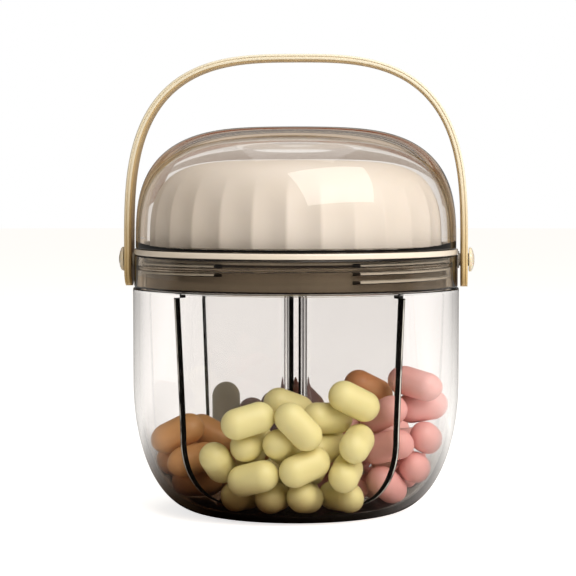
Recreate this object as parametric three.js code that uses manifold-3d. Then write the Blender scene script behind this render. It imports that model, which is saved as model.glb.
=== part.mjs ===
// Travel pill bottle: a clear jar with four compartments, a screwed collar that carries
// a turning dispenser dome, a push-on clear cover and a swinging carrying handle.
// Millimetres, +Z up, origin at the centre of the face it stands on, front towards -Y.
import * as THREE from "three";
import { mergeVertices } from "three/addons/utils/BufferGeometryUtils.js";
import Module from "manifold-3d";

const wasm = await Module();
wasm.setup();

const TURN = 2 * Math.PI;
const QUARTER = TURN / 4;

// Fits between pieces
const SEAT_GAP = 0.3;
const RUN_GAP = 0.25;
const SOFT_GAP = 0.15;
const OVERRUN = 1;
const SLIVER = 0.02;

// Fineness of round faces, in counts
const SEGMENTS = 40;
const CORNER_STEPS = 5;
const SMALL_SEGMENTS = 16;
const STRAP_STEPS = 12;

// Jar
const JAR_R = 42;
const JAR_WALL = 1.7;
const CORNER_W = 18;
const CORNER_H = 34;
const CORNER_POWER = 2.15;
const SHOULDER_Z = 57.6;
const SHOULDER_W = 3.2;
const SHOULDER_WALL = 1.1;
const NECK_WALL = 1.1;
const NECK_H = 8.2;

// Screw thread between neck and collar: ribs by halves, right and left in turn
const PITCH = 2.05;
const THREAD_LIFT = 2.85;
const THREAD_RIBS = 5;
const THREAD_GAP_DEG = 24.4;
const RIB_H = 0.85;
const RIB_ROOT_W = 1;
const RIB_CREST_W = 0.5;
const NUT_TURNS = 1.25;

// Divider: its vanes narrow a little downwards and have wide round lower corners
const VANE_T = 1.5;
const POST_R = 2.75;
const VANE_WALL_GAP = 1.2;
const VANE_DRAFT = 1.9;
const VANE_CORNER_W = 23.2;
const VANE_CORNER_H = 20;
const VANE_CORNER_POWER = 2.2;
const DIVIDER_TOP_DROP = 2.2;

// Gasket, collar and the ring let into the collar's upper edge
const GASKET_T = 0.5;
const COLLAR_WALL = 1.75;
const DECK_T = 0.9;
const DECK_LEDGE_W = 3.4;
const LIP_T = 1;
const LIP_H = 0.8;
const SEAL_T = 0.9;
const RING_T = 0.8;
const RING_H = 1.4;
const RING_PROUD = 0.1;

// Cover
const COVER_STEP = 0.4;
const COVER_WALL = 2;
const COVER_CROWN_WALL = 2.2;
const COVER_HEADROOM = 5.95;
const COVER_FLAT_R = 4.5;
const COVER_POWER = 3;

// Selector: fluted dome and its floor
const DOME_SKIRT_WALL = 1.4;
const DOME_H = 22.1;
const DOME_SHOULDER_W = 22.65;
const DOME_POWER = 2.95;
const DOME_CROWN_WALL = 1.9;
const FLUTES = 28;
const FLUTE_COLUMNS = 4;
const FLUTE_DEPTH = 0.8;
const WINDOW_W = 26;
const WINDOW_D = 17;
const WINDOW_INSET = 12.2;
const BOSS_R = 3;
const BOSS_H = 5.5;
const FLOOR_T = 1.2;
const SNAP_WALL = 1.2;
const SNAP_BEAD = 0.9;
const SNAP_BEAD_H = 0.6;
const SNAP_SLITS = 4;
const SNAP_SLIT_W = 3;
const PORT_HALF_DEG = 38;
const PORT_INNER_R = 9.5;
const PORT_MARGIN = 1;
const CHUTE_WALL = 1.2;
const CHUTE_DROP = 9.75;

// Shutter under the dome and its clip
const SHUTTER_T = 1.2;
const SHUTTER_GAP = 0.35;
const SHUTTER_INSET = 3.2;
const SHUTTER_HALF_DEG = 36;
const HUB_R = 6;
const NUB_DEG = -24;
const NUB_W = 5;
const NUB_D = 4;
const NUB_PROUD = 1;
const CLIP_R = 5.2;
const CLIP_T = 1.2;

// Handle and its pivots
const PIVOT_LIFT = 6.9;
const STRAP_T = 1.85;
const STRAP_W = 8.4;
const STRAP_GAP = 0.65;
const STRAP_BEND_LIFT = 3.2;
const STRAP_POWER = 3;
const FINGER_GAP = 16.75;
const LEG_DROP = 6.6;
const PIVOT_BOSS_R = 2.2;
const STUD_R = 1.6;
const STUD_PROUD = 0.7;
const CAP_R = 3.1;
const CAP_T = 1.45;
const CAP_SOCKET_DEPTH = 0.75;

// Caplets and how they lie: one in a heap is a rod with round ends
const CAPLET_L = 13.4;
const CAPLET_W = 7.8;
const CAPLET_T = 7.3;
const CAPLET_GAP = 0.15;
const REST_GAP = 0.1;
const CAPLET_WALL_GAP = 0.45;
const CAPLET_SIDES = 8;
const CAPLET_CAP_STEPS = 2;
const BED_SIDES = 6;
const BRIDGE_R = 1.2;
const BRIDGE_SIDES = 4;
const PULL_ROUNDS = 200;
const DROP_ROUNDS = 400;
const DROP_STEP = 0.35;
const INWARD_SHARE = 0.4;
const HELD_SHARE = 0.1;
const HOME_SHARE = 0.3;
const LOOSE_SHARE = 0.05;
const SPREAD_ROUNDS = 200;

// Where the caplets that show lie in each compartment, as shares: across and out of the jar's
// inner radius, up of the shoulder's height, then the turn and the rise in quarter turns
const FRONT_SHARES = [
  [-0.24, 0.82, 0.45, 0.13, 0.23],
  [0.05, 0.82, 0.43, 0.22, -0.59],
  [0.23, 0.62, 0.44, 0.17, -0.4],
  [-0.01, 0.5, 0.49, 0.1, -0.31],
  [0.38, 0.7, 0.52, 0.04, -0.15],
  [-0.23, 0.67, 0.34, 0.82, 0],
  [-0.04, 0.72, 0.31, 0.93, 0],
  [0.2, 0.55, 0.32, 0.71, 0.03],
  [0.39, 0.75, 0.32, -0.98, -0.39],
  [-0.38, 0.77, 0.26, 0.77, 0.06],
  [-0.22, 0.77, 0.19, 0.22, 0.26],
  [0.1, 0.77, 0.23, 0.24, 0.2],
  [0.31, 0.72, 0.21, 0.2, 0.95],
  [-0.1, 0.59, 0.1, 0.82, 0],
  [0.09, 0.55, 0.09, 0.87, 0],
  [-0.26, 0.55, 0.08, 0.71, 0.06],
  [0.3, 0.5, 0.06, 0.9, 0],
];
const RIGHT_SHARES = [
  [-0.28, 0.81, 0.56, -0.85, -0.16],
  [-0.25, 0.86, 0.45, -0.82, 0.41],
  [-0.17, 0.51, 0.55, -0.83, -0.33],
  [-0.31, 0.65, 0.44, -0.96, 0.5],
  [-0.34, 0.67, 0.31, -0.83, 0.33],
  [-0.2, 0.84, 0.3, -0.5, -0.17],
  [-0.21, 0.76, 0.17, -0.25, 0.75],
  [-0.27, 0.57, 0.12, -0.75, -0.65],
  [-0.15, 0.45, 0.36, -0.29, 0.06],
];
const BACK_SHARES = [
  [0.52, 0.85, 0.38, 0.75, -0.88],
  [0.1, 0.5, 0.45, 0.38, -0.1],
  [-0.02, 0.37, 0.46, 0.45, 0.38],
];
const LEFT_SHARES = [
  [0.39, 0.8, 0.33, -0.83, -0.38],
  [0.2, 0.55, 0.34, -0.71, 0.29],
  [0.39, 0.75, 0.24, -0.74, -0.05],
  [0.28, 0.64, 0.11, -0.7, -0.36],
  [0.25, 0.84, 0.2, -0.42, -0.54],
];

// Each compartment: the way it faces, how many caplets show, how many lie behind them, how far
// up the jar they start, the way in which the chosen ones are left loose and their places
const HEAPS = [
  {
    name: "yellow", facing: -90, shown: 17, hidden: 7, fillShare: 0.4, colour: 0xdccb78,
    loose: "x", shares: FRONT_SHARES,
  },
  {
    name: "pink", facing: 0, shown: 9, hidden: 13, fillShare: 0.42, colour: 0xe09aa0,
    loose: "y", shares: RIGHT_SHARES,
  },
  {
    name: "maroon", facing: 90, shown: 8, hidden: 14, fillShare: 0.4, colour: 0x7a4a44,
    loose: "x", shares: BACK_SHARES,
  },
  {
    name: "amber", facing: 180, shown: 8, hidden: 6, fillShare: 0.3, colour: 0xb87848,
    loose: "y", shares: LEFT_SHARES,
  },
];

// Heights and radii that follow from the sizes above
const JAR_INNER_R = JAR_R - JAR_WALL;
const FOOT_R = JAR_R - CORNER_W;
const NECK_R = JAR_R - SHOULDER_W;
const NECK_INNER_R = NECK_R - NECK_WALL;
const RIM_Z = SHOULDER_Z + NECK_H;
const THREAD_Z = SHOULDER_Z + THREAD_LIFT;
const THREAD_CREST_R = NECK_R + RIB_H;
const COLLAR_Z = SHOULDER_Z + SEAT_GAP;
const COLLAR_INNER_R = THREAD_CREST_R + SEAT_GAP;
const COLLAR_R = COLLAR_INNER_R + COLLAR_WALL;
const RING_INNER_R = COLLAR_R - RING_T;
const REBATE_R = RING_INNER_R - SOFT_GAP;
const GASKET_Z = RIM_Z + SOFT_GAP;
const DECK_Z = GASKET_Z + GASKET_T + SOFT_GAP;
const DECK_TOP_Z = DECK_Z + DECK_T;
const RING_TOP_Z = DECK_TOP_Z + RING_PROUD;
const RING_Z = RING_TOP_Z - RING_H;
const REBATE_Z = RING_Z - SOFT_GAP;
const COVER_Z = DECK_TOP_Z + SEAT_GAP;
const COVER_R = COLLAR_R - COVER_STEP;
const COVER_INNER_R = COVER_R - COVER_WALL;
const LIP_R = COVER_INNER_R - 2 * RUN_GAP - SEAL_T;
const LIP_INNER_R = LIP_R - LIP_T;
const LIP_TOP_Z = DECK_TOP_Z + LIP_H;
const DECK_BORE_R = LIP_INNER_R - DECK_LEDGE_W;
const SKIRT_R = LIP_INNER_R - SEAT_GAP;
const DOME_R = LIP_R - RUN_GAP;
const DOME_FLAT_R = DOME_R - DOME_SHOULDER_W;
const DOME_INNER_R = SKIRT_R - DOME_SKIRT_WALL;
const SELECTOR_Z = DECK_TOP_Z + SEAT_GAP;
const BRIM_Z = LIP_TOP_Z + RUN_GAP;
const DOME_TOP_Z = BRIM_Z + DOME_H;
const DOME_INNER_TOP_Z = DOME_TOP_Z - DOME_CROWN_WALL;
const CHUTE_TOP_Z = DOME_INNER_TOP_Z - CHUTE_DROP;
const WINDOW_R = DOME_INNER_R - WINDOW_INSET;
const SHUTTER_R = DOME_INNER_R - SHUTTER_INSET;
const SNAP_R = DECK_BORE_R - SEAT_GAP;
const PORT_OUTER_R = SNAP_R - SNAP_WALL - PORT_MARGIN;
const FLOOR_TOP_Z = SELECTOR_Z + FLOOR_T;
const COVER_INNER_TOP_Z = DOME_TOP_Z + COVER_HEADROOM;
const COVER_TOP_Z = COVER_INNER_TOP_Z + COVER_CROWN_WALL;
const PIVOT_Z = COLLAR_Z + PIVOT_LIFT;
const HANDLE_INNER_R = COLLAR_R + STRAP_GAP;
const HANDLE_R = HANDLE_INNER_R + STRAP_T;
const STRAP_BEND_Z = PIVOT_Z + STRAP_BEND_LIFT;
const STRAP_TOP_Z = COVER_TOP_Z + FINGER_GAP + STRAP_T;

// Geometry helpers

// A closed three.js geometry as a solid that can be cut and joined
function solid(geometry) {
  const bare = geometry.index ? geometry : geometry.clone();
  bare.deleteAttribute("normal");
  bare.deleteAttribute("uv");
  const merged = mergeVertices(bare);
  const triangles = [];
  const index = merged.index.array;
  for (let i = 0; i < index.length; i += 3) {
    const [a, b, c] = [index[i], index[i + 1], index[i + 2]];
    if (a !== b && b !== c && c !== a) triangles.push(a, b, c);
  }
  return new wasm.Manifold(new wasm.Mesh({
    numProp: 3,
    vertProperties: new Float32Array(merged.attributes.position.array),
    triVerts: new Uint32Array(triangles),
  }));
}

// The triangles of a cut solid without its slivers: the two ends of an edge that is too short to
// matter become one, and the triangles that this flattens go
function withoutSlivers({ vertProperties, triVerts }) {
  const point = (i) => new THREE.Vector3().fromArray(vertProperties, 3 * i);
  const same = Array.from({ length: vertProperties.length / 3 }, (_, i) => i);
  const keeper = (i) => (same[i] === i ? i : keeper(same[i]));
  for (let i = 0; i < triVerts.length; i++) {
    const next = i % 3 === 2 ? i - 2 : i + 1;
    const [a, b] = [keeper(triVerts[i]), keeper(triVerts[next])];
    if (point(a).distanceTo(point(b)) < SLIVER) same[b] = a;
  }
  const kept = new Map();
  for (let i = 0; i < triVerts.length; i += 3) {
    const corners = [0, 1, 2].map((k) => keeper(triVerts[i + k]));
    if (new Set(corners).size < 3) continue;
    const key = [...corners].sort().join();
    if (kept.has(key)) kept.delete(key);
    else kept.set(key, corners);
  }
  return [...kept.values()].flat();
}

// A solid back as a named mesh with its own material
function piece(name, body, colour, roughness, opacity = 1) {
  const mesh = body.getMesh();
  const geometry = new THREE.BufferGeometry();
  geometry.setAttribute("position", new THREE.BufferAttribute(mesh.vertProperties, 3));
  geometry.setIndex(withoutSlivers(mesh));
  geometry.computeVertexNormals();
  const material = new THREE.MeshStandardMaterial({
    color: colour, roughness, metalness: 0, opacity, transparent: opacity < 1,
  });
  const node = new THREE.Mesh(geometry, material);
  node.name = name;
  return node;
}

// A profile of [radius, height] points, running up the outside, turned about the Z axis
function revolve(points, segments = SEGMENTS) {
  const profile = points.map(([r, z]) => new THREE.Vector2(r, z));
  return solid(new THREE.LatheGeometry(profile, segments).rotateX(QUARTER));
}

// A ring of rectangular section
function ring(innerR, outerR, z0, z1, segments = SEGMENTS) {
  return revolve([[innerR, z0], [outerR, z0], [outerR, z1], [innerR, z1], [innerR, z0]], segments);
}

// A round bar along Z
function rod(r, z0, z1, segments = SMALL_SEGMENTS) {
  return revolve([[0, z0], [r, z0], [r, z1], [0, z1]], segments);
}

// A flat outline in XY, raised from z0 to z1
function slab(shape, z0, z1, steps = SMALL_SEGMENTS) {
  const settings = { depth: z1 - z0, bevelEnabled: false, curveSegments: steps };
  return solid(new THREE.ExtrudeGeometry(shape, settings).translate(0, 0, z0));
}

// A superellipse quarter from the side wall up to the crown's flat, as [radius, height] points;
// inset moves it inwards along its own normals
function crownArc({ flatR, r, z0, h, power, steps, inset = 0 }) {
  const points = [];
  for (let i = 0; i <= steps; i++) {
    const t = (QUARTER * i) / steps;
    const across = Math.cos(t) ** (2 / power);
    const up = Math.sin(t) ** (2 / power);
    const nx = across ** (power - 1) / (r - flatR);
    const nz = up ** (power - 1) / h;
    const length = Math.hypot(nx, nz);
    points.push([
      flatR + (r - flatR) * across - (inset * nx) / length,
      z0 + h * up - (inset * nz) / length,
    ]);
  }
  return points;
}

// The jar's rounded lower corner, from the foot out to the wall
function footArc(wall, steps = CORNER_STEPS) {
  const arc = crownArc({
    flatR: FOOT_R, r: JAR_R, z0: 0, h: CORNER_H, power: CORNER_POWER, steps, inset: wall,
  });
  return arc.map(([r, z]) => [r, CORNER_H - z]).reverse();
}

// A helical rib between two radii; its section is wider at one radius than at the other
function helixRib({ innerR, innerW, outerR, outerW, z, fromDeg, toDeg }) {
  const from = THREE.MathUtils.degToRad(fromDeg);
  const sweep = THREE.MathUtils.degToRad(toDeg - fromDeg);
  const steps = Math.round((sweep / TURN) * SEGMENTS);
  const section = [[innerR, -innerW], [outerR, -outerW], [outerR, outerW], [innerR, innerW]];
  const positions = [];
  for (let i = 0; i <= steps; i++) {
    const angle = from + (sweep * i) / steps;
    const rise = z + (PITCH * (angle - from)) / TURN;
    for (const [r, w] of section) {
      positions.push(r * Math.cos(angle), r * Math.sin(angle), rise + w / 2);
    }
  }
  const index = [0, 1, 2, 0, 2, 3];
  for (let i = 0; i < steps; i++) {
    for (let k = 0; k < 4; k++) {
      const a = 4 * i + k;
      const b = 4 * i + ((k + 1) % 4);
      index.push(a, a + 4, b, b, a + 4, b + 4);
    }
  }
  const last = 4 * steps;
  index.push(last, last + 2, last + 1, last, last + 3, last + 2);
  const geometry = new THREE.BufferGeometry();
  geometry.setAttribute("position", new THREE.Float32BufferAttribute(positions, 3));
  geometry.setIndex(index);
  return solid(geometry);
}

// A sector of a ring about the Z axis, centred on +Y
function sectorShape(innerR, outerR, halfDeg) {
  const half = THREE.MathUtils.degToRad(halfDeg);
  const shape = new THREE.Shape();
  shape.absarc(0, 0, outerR, QUARTER - half, QUARTER + half, false);
  shape.absarc(0, 0, innerR, QUARTER + half, QUARTER - half, true);
  shape.closePath();
  return shape;
}

function ovalShape(width, depth, y) {
  const shape = new THREE.Shape();
  shape.absellipse(0, y, width / 2, depth / 2, 0, TURN, false);
  return shape;
}

// Jar
function makeJar() {
  const outside = [[0, 0], ...footArc(0), [JAR_R, SHOULDER_Z], [NECK_R, SHOULDER_Z], [NECK_R, RIM_Z]];
  const inside = [
    [NECK_INNER_R, RIM_Z],
    [NECK_INNER_R, SHOULDER_Z - SHOULDER_WALL],
    [JAR_INNER_R, SHOULDER_Z - SHOULDER_WALL],
    ...footArc(JAR_WALL).reverse(),
    [0, JAR_WALL],
  ];
  let jar = revolve([...outside, ...inside]);
  const half = 90 - THREAD_GAP_DEG;
  for (let i = 0; i < THREAD_RIBS; i++) {
    jar = jar.add(helixRib({
      innerR: NECK_R - NECK_WALL / 2,
      innerW: RIB_ROOT_W,
      outerR: THREAD_CREST_R,
      outerW: RIB_CREST_W,
      z: THREAD_Z + (PITCH * i) / 2,
      fromDeg: 180 * i - half,
      toDeg: 180 * i + half,
    }));
  }
  return piece("jar", jar, 0xeef2f1, 0.08, 0.35);
}

// Divider: two full vanes that cross at a round post, stepped in at the top to pass the neck
function makeDivider() {
  const foot = JAR_WALL + SEAT_GAP;
  const step = SHOULDER_Z - SHOULDER_WALL - SEAT_GAP;
  const top = RIM_Z - DIVIDER_TOP_DROP;
  const reach = NECK_INNER_R - SEAT_GAP;
  const wide = JAR_INNER_R - VANE_WALL_GAP;
  const low = wide - VANE_DRAFT;
  const corner = crownArc({
    flatR: low - VANE_CORNER_W,
    r: low,
    z0: 0,
    h: VANE_CORNER_H,
    power: VANE_CORNER_POWER,
    steps: CORNER_STEPS,
  }).reverse();
  const envelope = revolve([
    [0, foot],
    ...corner.map(([r, z]) => [r, foot + VANE_CORNER_H - z]),
    [wide, step],
    [reach, step],
    [reach, top],
    [0, top],
  ]);
  let vanes = rod(POST_R, foot, top);
  for (const turn of [1, 3]) {
    const plate = new THREE.BoxGeometry(2 * JAR_R, VANE_T, 2 * RIM_Z).rotateZ((turn * QUARTER) / 2);
    vanes = vanes.add(solid(plate));
  }
  return piece("divider", vanes.intersect(envelope), 0xb9b4ab, 0.12, 0.45);
}

function makeGasket() {
  const body = ring(NECK_INNER_R, NECK_R, GASKET_Z, GASKET_Z + GASKET_T);
  return piece("jar_gasket", body, 0xd8d6d0, 0.7);
}

// Collar: skirt with the inner thread, deck over the gasket, lip, a rebate round its upper edge
// for the ring, and the two pivot studs
function makeCollar() {
  let collar = revolve([
    [COLLAR_INNER_R, COLLAR_Z],
    [COLLAR_R, COLLAR_Z],
    [COLLAR_R, REBATE_Z],
    [REBATE_R, REBATE_Z],
    [REBATE_R, DECK_TOP_Z],
    [LIP_R, DECK_TOP_Z],
    [LIP_R, LIP_TOP_Z],
    [LIP_INNER_R, LIP_TOP_Z],
    [LIP_INNER_R, DECK_TOP_Z],
    [DECK_BORE_R, DECK_TOP_Z],
    [DECK_BORE_R, DECK_Z],
    [COLLAR_INNER_R, DECK_Z],
    [COLLAR_INNER_R, COLLAR_Z],
  ]);
  const half = 90 - THREAD_GAP_DEG;
  collar = collar.add(helixRib({
    innerR: NECK_R + SEAT_GAP,
    innerW: RIB_CREST_W,
    outerR: COLLAR_R - COLLAR_WALL / 2,
    outerW: RIB_ROOT_W,
    z: THREAD_Z + (PITCH * (THREAD_GAP_DEG + half)) / 360 + PITCH / 2,
    fromDeg: THREAD_GAP_DEG,
    toDeg: THREAD_GAP_DEG + NUT_TURNS * 360,
  }));
  for (const side of [-1, 1]) {
    const boss = rod(PIVOT_BOSS_R, (COLLAR_INNER_R + REBATE_R) / 2, HANDLE_INNER_R - SEAT_GAP);
    const stud = rod(STUD_R, COLLAR_R, HANDLE_R + STUD_PROUD);
    const place = boss.add(stud).rotate([0, side * 90, 0]).translate([0, 0, PIVOT_Z]);
    collar = collar.add(place);
  }
  return piece("collar", collar, 0x6f665d, 0.12, 0.6);
}

// Ring let into the collar's upper edge, notched over the two pivot bosses
function makeCollarRing() {
  const band = ring(RING_INNER_R, COLLAR_R, RING_Z, RING_TOP_Z);
  const bosses = rod(PIVOT_BOSS_R + SOFT_GAP, -HANDLE_R, HANDLE_R).rotate([0, 90, 0]);
  return piece("collar_ring", band.subtract(bosses.translate([0, 0, PIVOT_Z])), 0xf0e6d4, 0.35);
}

function makeCoverSeal() {
  const z = DECK_TOP_Z + RUN_GAP;
  const body = ring(LIP_R + RUN_GAP, COVER_INNER_R - RUN_GAP, z, LIP_TOP_Z);
  return piece("cover_seal", body, 0x1f1c1a, 0.6);
}

function makeCover() {
  const shape = { z0: COVER_Z, power: COVER_POWER, steps: CORNER_STEPS + 2 };
  const outside = crownArc({ ...shape, flatR: COVER_FLAT_R, r: COVER_R, h: COVER_TOP_Z - COVER_Z });
  const inside = crownArc({
    ...shape, flatR: COVER_FLAT_R, r: COVER_INNER_R, h: COVER_INNER_TOP_Z - COVER_Z,
  });
  const profile = [
    ...outside,
    [0, COVER_TOP_Z],
    [0, COVER_INNER_TOP_Z],
    ...inside.reverse(),
    [COVER_R, COVER_Z],
  ];
  return piece("cover", revolve(profile), 0xf0e4dc, 0.05, 0.3);
}

// The inside of the dome, which the shutter follows
const DOME_INSIDE = {
  flatR: DOME_FLAT_R,
  r: DOME_INNER_R,
  z0: BRIM_Z,
  h: DOME_H - DOME_CROWN_WALL,
  power: DOME_POWER,
  steps: CORNER_STEPS,
};

// How deep a flute is at a height, from its full depth low down to nothing at the crown
function fluteDepth(z) {
  const share = (z - BRIM_Z) / DOME_H;
  const fullShare = 0.35;
  const goneShare = 0.8;
  const fade = THREE.MathUtils.clamp((goneShare - share) / (goneShare - fullShare), 0, 1);
  return FLUTE_DEPTH * fade;
}

// Selector dome: fluted shell with a skirt inside the collar's lip, an oval window and a boss
function makeDome() {
  const outline = [
    [SKIRT_R, SELECTOR_Z],
    [SKIRT_R, BRIM_Z],
    ...crownArc({
      flatR: DOME_FLAT_R, r: DOME_R, z0: BRIM_Z, h: DOME_H, power: DOME_POWER, steps: CORNER_STEPS + 2,
    }),
  ];
  const columns = FLUTES * FLUTE_COLUMNS;
  const positions = [];
  for (const [r, z] of outline) {
    for (let i = 0; i < columns; i++) {
      const angle = (TURN * i) / columns;
      const scallop = Math.abs(Math.sin((Math.PI * i) / FLUTE_COLUMNS));
      const here = r === SKIRT_R ? r : r - fluteDepth(z) * scallop;
      positions.push(here * Math.cos(angle), here * Math.sin(angle), z);
    }
  }
  const lastRow = (outline.length - 1) * columns;
  const crown = outline.length * columns;
  positions.push(0, 0, DOME_TOP_Z, 0, 0, SELECTOR_Z);
  const index = [];
  for (let i = 0; i < columns; i++) {
    const next = (i + 1) % columns;
    for (let row = 0; row < lastRow; row += columns) {
      index.push(row + i, row + next, row + columns + next);
      index.push(row + i, row + columns + next, row + columns + i);
    }
    index.push(lastRow + i, lastRow + next, crown);
    index.push(next, i, crown + 1);
  }
  const geometry = new THREE.BufferGeometry();
  geometry.setAttribute("position", new THREE.Float32BufferAttribute(positions, 3));
  geometry.setIndex(index);
  const hollow = revolve([
    [0, SELECTOR_Z - OVERRUN],
    [DOME_INNER_R, SELECTOR_Z - OVERRUN],
    ...crownArc(DOME_INSIDE),
    [0, DOME_INNER_TOP_Z],
  ]);
  const boss = rod(BOSS_R, DOME_INNER_TOP_Z - BOSS_H, DOME_INNER_TOP_Z + DOME_CROWN_WALL / 2);
  const window = slab(ovalShape(WINDOW_W, WINDOW_D, WINDOW_R), BRIM_Z, DOME_TOP_Z + OVERRUN);
  const dome = solid(geometry).subtract(hollow).add(boss).subtract(window);
  return piece("selector_dome", dome, 0xe6d9c4, 0.45);
}

// Selector base: floor with one port, the chute's walls and a snap skirt through the deck
function makeSelectorBase() {
  const beadTop = DECK_Z - SEAT_GAP;
  const beadZ = beadTop - SNAP_BEAD_H;
  let base = rod(DOME_INNER_R - SEAT_GAP, SELECTOR_Z, FLOOR_TOP_Z, SEGMENTS);
  let snap = revolve([
    [SNAP_R - SNAP_WALL, beadZ],
    [SNAP_R, beadZ],
    [SNAP_R + SNAP_BEAD, beadTop],
    [SNAP_R, beadTop],
    [SNAP_R, SELECTOR_Z + FLOOR_T / 2],
    [SNAP_R - SNAP_WALL, SELECTOR_Z + FLOOR_T / 2],
    [SNAP_R - SNAP_WALL, beadZ],
  ]);
  for (let i = 0; i < SNAP_SLITS; i++) {
    const slitH = SELECTOR_Z - beadZ;
    const slit = new THREE.BoxGeometry(2 * DECK_BORE_R, SNAP_SLIT_W, 2 * slitH);
    slit.translate(0, 0, SELECTOR_Z - slitH).rotateZ(((i + 1 / 2) * TURN) / SNAP_SLITS / 2);
    snap = snap.subtract(solid(slit));
  }
  const chuteDeg = PORT_HALF_DEG + THREE.MathUtils.radToDeg(CHUTE_WALL / PORT_OUTER_R);
  const outer = sectorShape(PORT_INNER_R - CHUTE_WALL, PORT_OUTER_R + CHUTE_WALL, chuteDeg);
  const port = sectorShape(PORT_INNER_R, PORT_OUTER_R, PORT_HALF_DEG);
  base = base.add(snap).add(slab(outer, SELECTOR_Z + FLOOR_T / 2, CHUTE_TOP_Z));
  base = base.subtract(slab(port, SELECTOR_Z - OVERRUN, CHUTE_TOP_Z + OVERRUN));
  return piece("selector_base", base, 0xddcfb8, 0.5);
}

// Shutter: a sector of a shell just under the dome, turning on the dome's boss
function makeShutter() {
  const upper = crownArc({ ...DOME_INSIDE, inset: SHUTTER_GAP });
  const lower = crownArc({ ...DOME_INSIDE, inset: SHUTTER_GAP + SHUTTER_T });
  const shell = revolve([
    ...upper,
    [0, DOME_INNER_TOP_Z - SHUTTER_GAP],
    [0, DOME_INNER_TOP_Z - SHUTTER_GAP - SHUTTER_T],
    ...lower.reverse(),
    upper[0],
  ]);
  const wedge = slab(sectorShape(HUB_R / 2, SHUTTER_R, SHUTTER_HALF_DEG), BRIM_Z, DOME_TOP_Z);
  let shutter = shell.intersect(wedge.add(rod(HUB_R, BRIM_Z, DOME_TOP_Z)));
  const nubTop = DOME_TOP_Z + NUB_PROUD;
  const nub = slab(ovalShape(NUB_W, NUB_D, WINDOW_R), DOME_INNER_TOP_Z - DOME_CROWN_WALL, nubTop);
  shutter = shutter.add(nub.rotate([0, 0, NUB_DEG]));
  shutter = shutter.subtract(rod(BOSS_R + RUN_GAP, BRIM_Z, DOME_TOP_Z));
  return piece("shutter", shutter, 0xe08a4a, 0.4);
}

function makeShutterClip() {
  const top = DOME_INNER_TOP_Z - SHUTTER_GAP - SHUTTER_T - SEAT_GAP;
  const body = ring(BOSS_R + RUN_GAP, CLIP_R, top - CLIP_T, top, SMALL_SEGMENTS);
  return piece("shutter_clip", body, 0xf2f0ea, 0.5);
}

// Handle: a bent strap seen from the front, trimmed at its feet from the side, with two eyes
function makeHandle() {
  const arc = (inset) => crownArc({
    flatR: 0,
    r: HANDLE_R,
    z0: STRAP_BEND_Z,
    h: STRAP_TOP_Z - STRAP_BEND_Z,
    power: STRAP_POWER,
    steps: STRAP_STEPS,
    inset,
  });
  const foot = PIVOT_Z - LEG_DROP;
  const outer = [[HANDLE_R, foot], ...arc(0)];
  const inner = [[HANDLE_INNER_R, foot], ...arc(STRAP_T)];
  const mirrored = (points) => points.slice(0, -1).reverse().map(([x, z]) => [-x, z]);
  const loop = [...outer, ...mirrored(outer), ...mirrored(inner).reverse(), ...inner.reverse()];
  const front = new THREE.Shape(loop.map(([x, z]) => new THREE.Vector2(x, z)));
  const strap = slab(front, -STRAP_W / 2, STRAP_W / 2).rotate([90, 0, 0]);
  const half = STRAP_W / 2;
  const side = new THREE.Shape();
  side.absarc(0, foot + half, half, Math.PI, TURN, false);
  side.lineTo(half, STRAP_TOP_Z + OVERRUN);
  side.lineTo(-half, STRAP_TOP_Z + OVERRUN);
  side.closePath();
  const reach = HANDLE_R + OVERRUN;
  const trim = slab(side, -reach, reach).rotate([90, 0, 0]).rotate([0, 0, 90]);
  const eye = rod(STUD_R + RUN_GAP, -reach, reach).rotate([0, 90, 0]).translate([0, 0, PIVOT_Z]);
  return piece("handle", strap.intersect(trim).subtract(eye), 0xe9d9b6, 0.4);
}

// Pivot cap: a domed button with a blind socket that snaps over the stud's end
function makePivotCap(name, side) {
  const z = HANDLE_R + SEAT_GAP;
  const socketR = STUD_R + RUN_GAP;
  const edgeShare = 0.45;
  const body = revolve([
    [socketR, z],
    [CAP_R, z],
    [CAP_R, z + CAP_T * edgeShare],
    [(CAP_R + STUD_R) / 2, z + CAP_T * (1 + edgeShare) / 2],
    [STUD_R / 2, z + CAP_T],
    [0, z + CAP_T],
    [0, z + CAP_SOCKET_DEPTH],
    [socketR, z + CAP_SOCKET_DEPTH],
    [socketR, z],
  ], SMALL_SEGMENTS);
  const placed = body.rotate([0, side * 90, 0]).translate([0, 0, PIVOT_Z]);
  return piece(name, placed, 0xd9cdb8, 0.3, 0.8);
}

// Caplets

const CAPLET_HALF = (CAPLET_L - CAPLET_W) / 2;
const CAPLET_FROM_WALL = CAPLET_W / 2 + CAPLET_WALL_GAP;

// A place between 0 and 1 that hardly repeats from one number to the next
function spread(number, stepShare) {
  return (number * stepShare) % 1;
}

// A caplet as its two end centres, in a compartment that faces +X
function startCaplet([across, out, up, turn, rise]) {
  const centre = new THREE.Vector3(
    JAR_INNER_R * Math.sqrt(Math.max(0, out ** 2 - across ** 2)), JAR_INNER_R * across, SHOULDER_Z * up,
  );
  const along = new THREE.Vector3(
    -Math.sin(QUARTER * turn) * Math.cos(QUARTER * rise),
    Math.cos(QUARTER * turn) * Math.cos(QUARTER * rise),
    Math.sin(QUARTER * rise),
  ).multiplyScalar(CAPLET_HALF);
  return [centre.clone().sub(along), centre.clone().add(along)];
}

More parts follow.
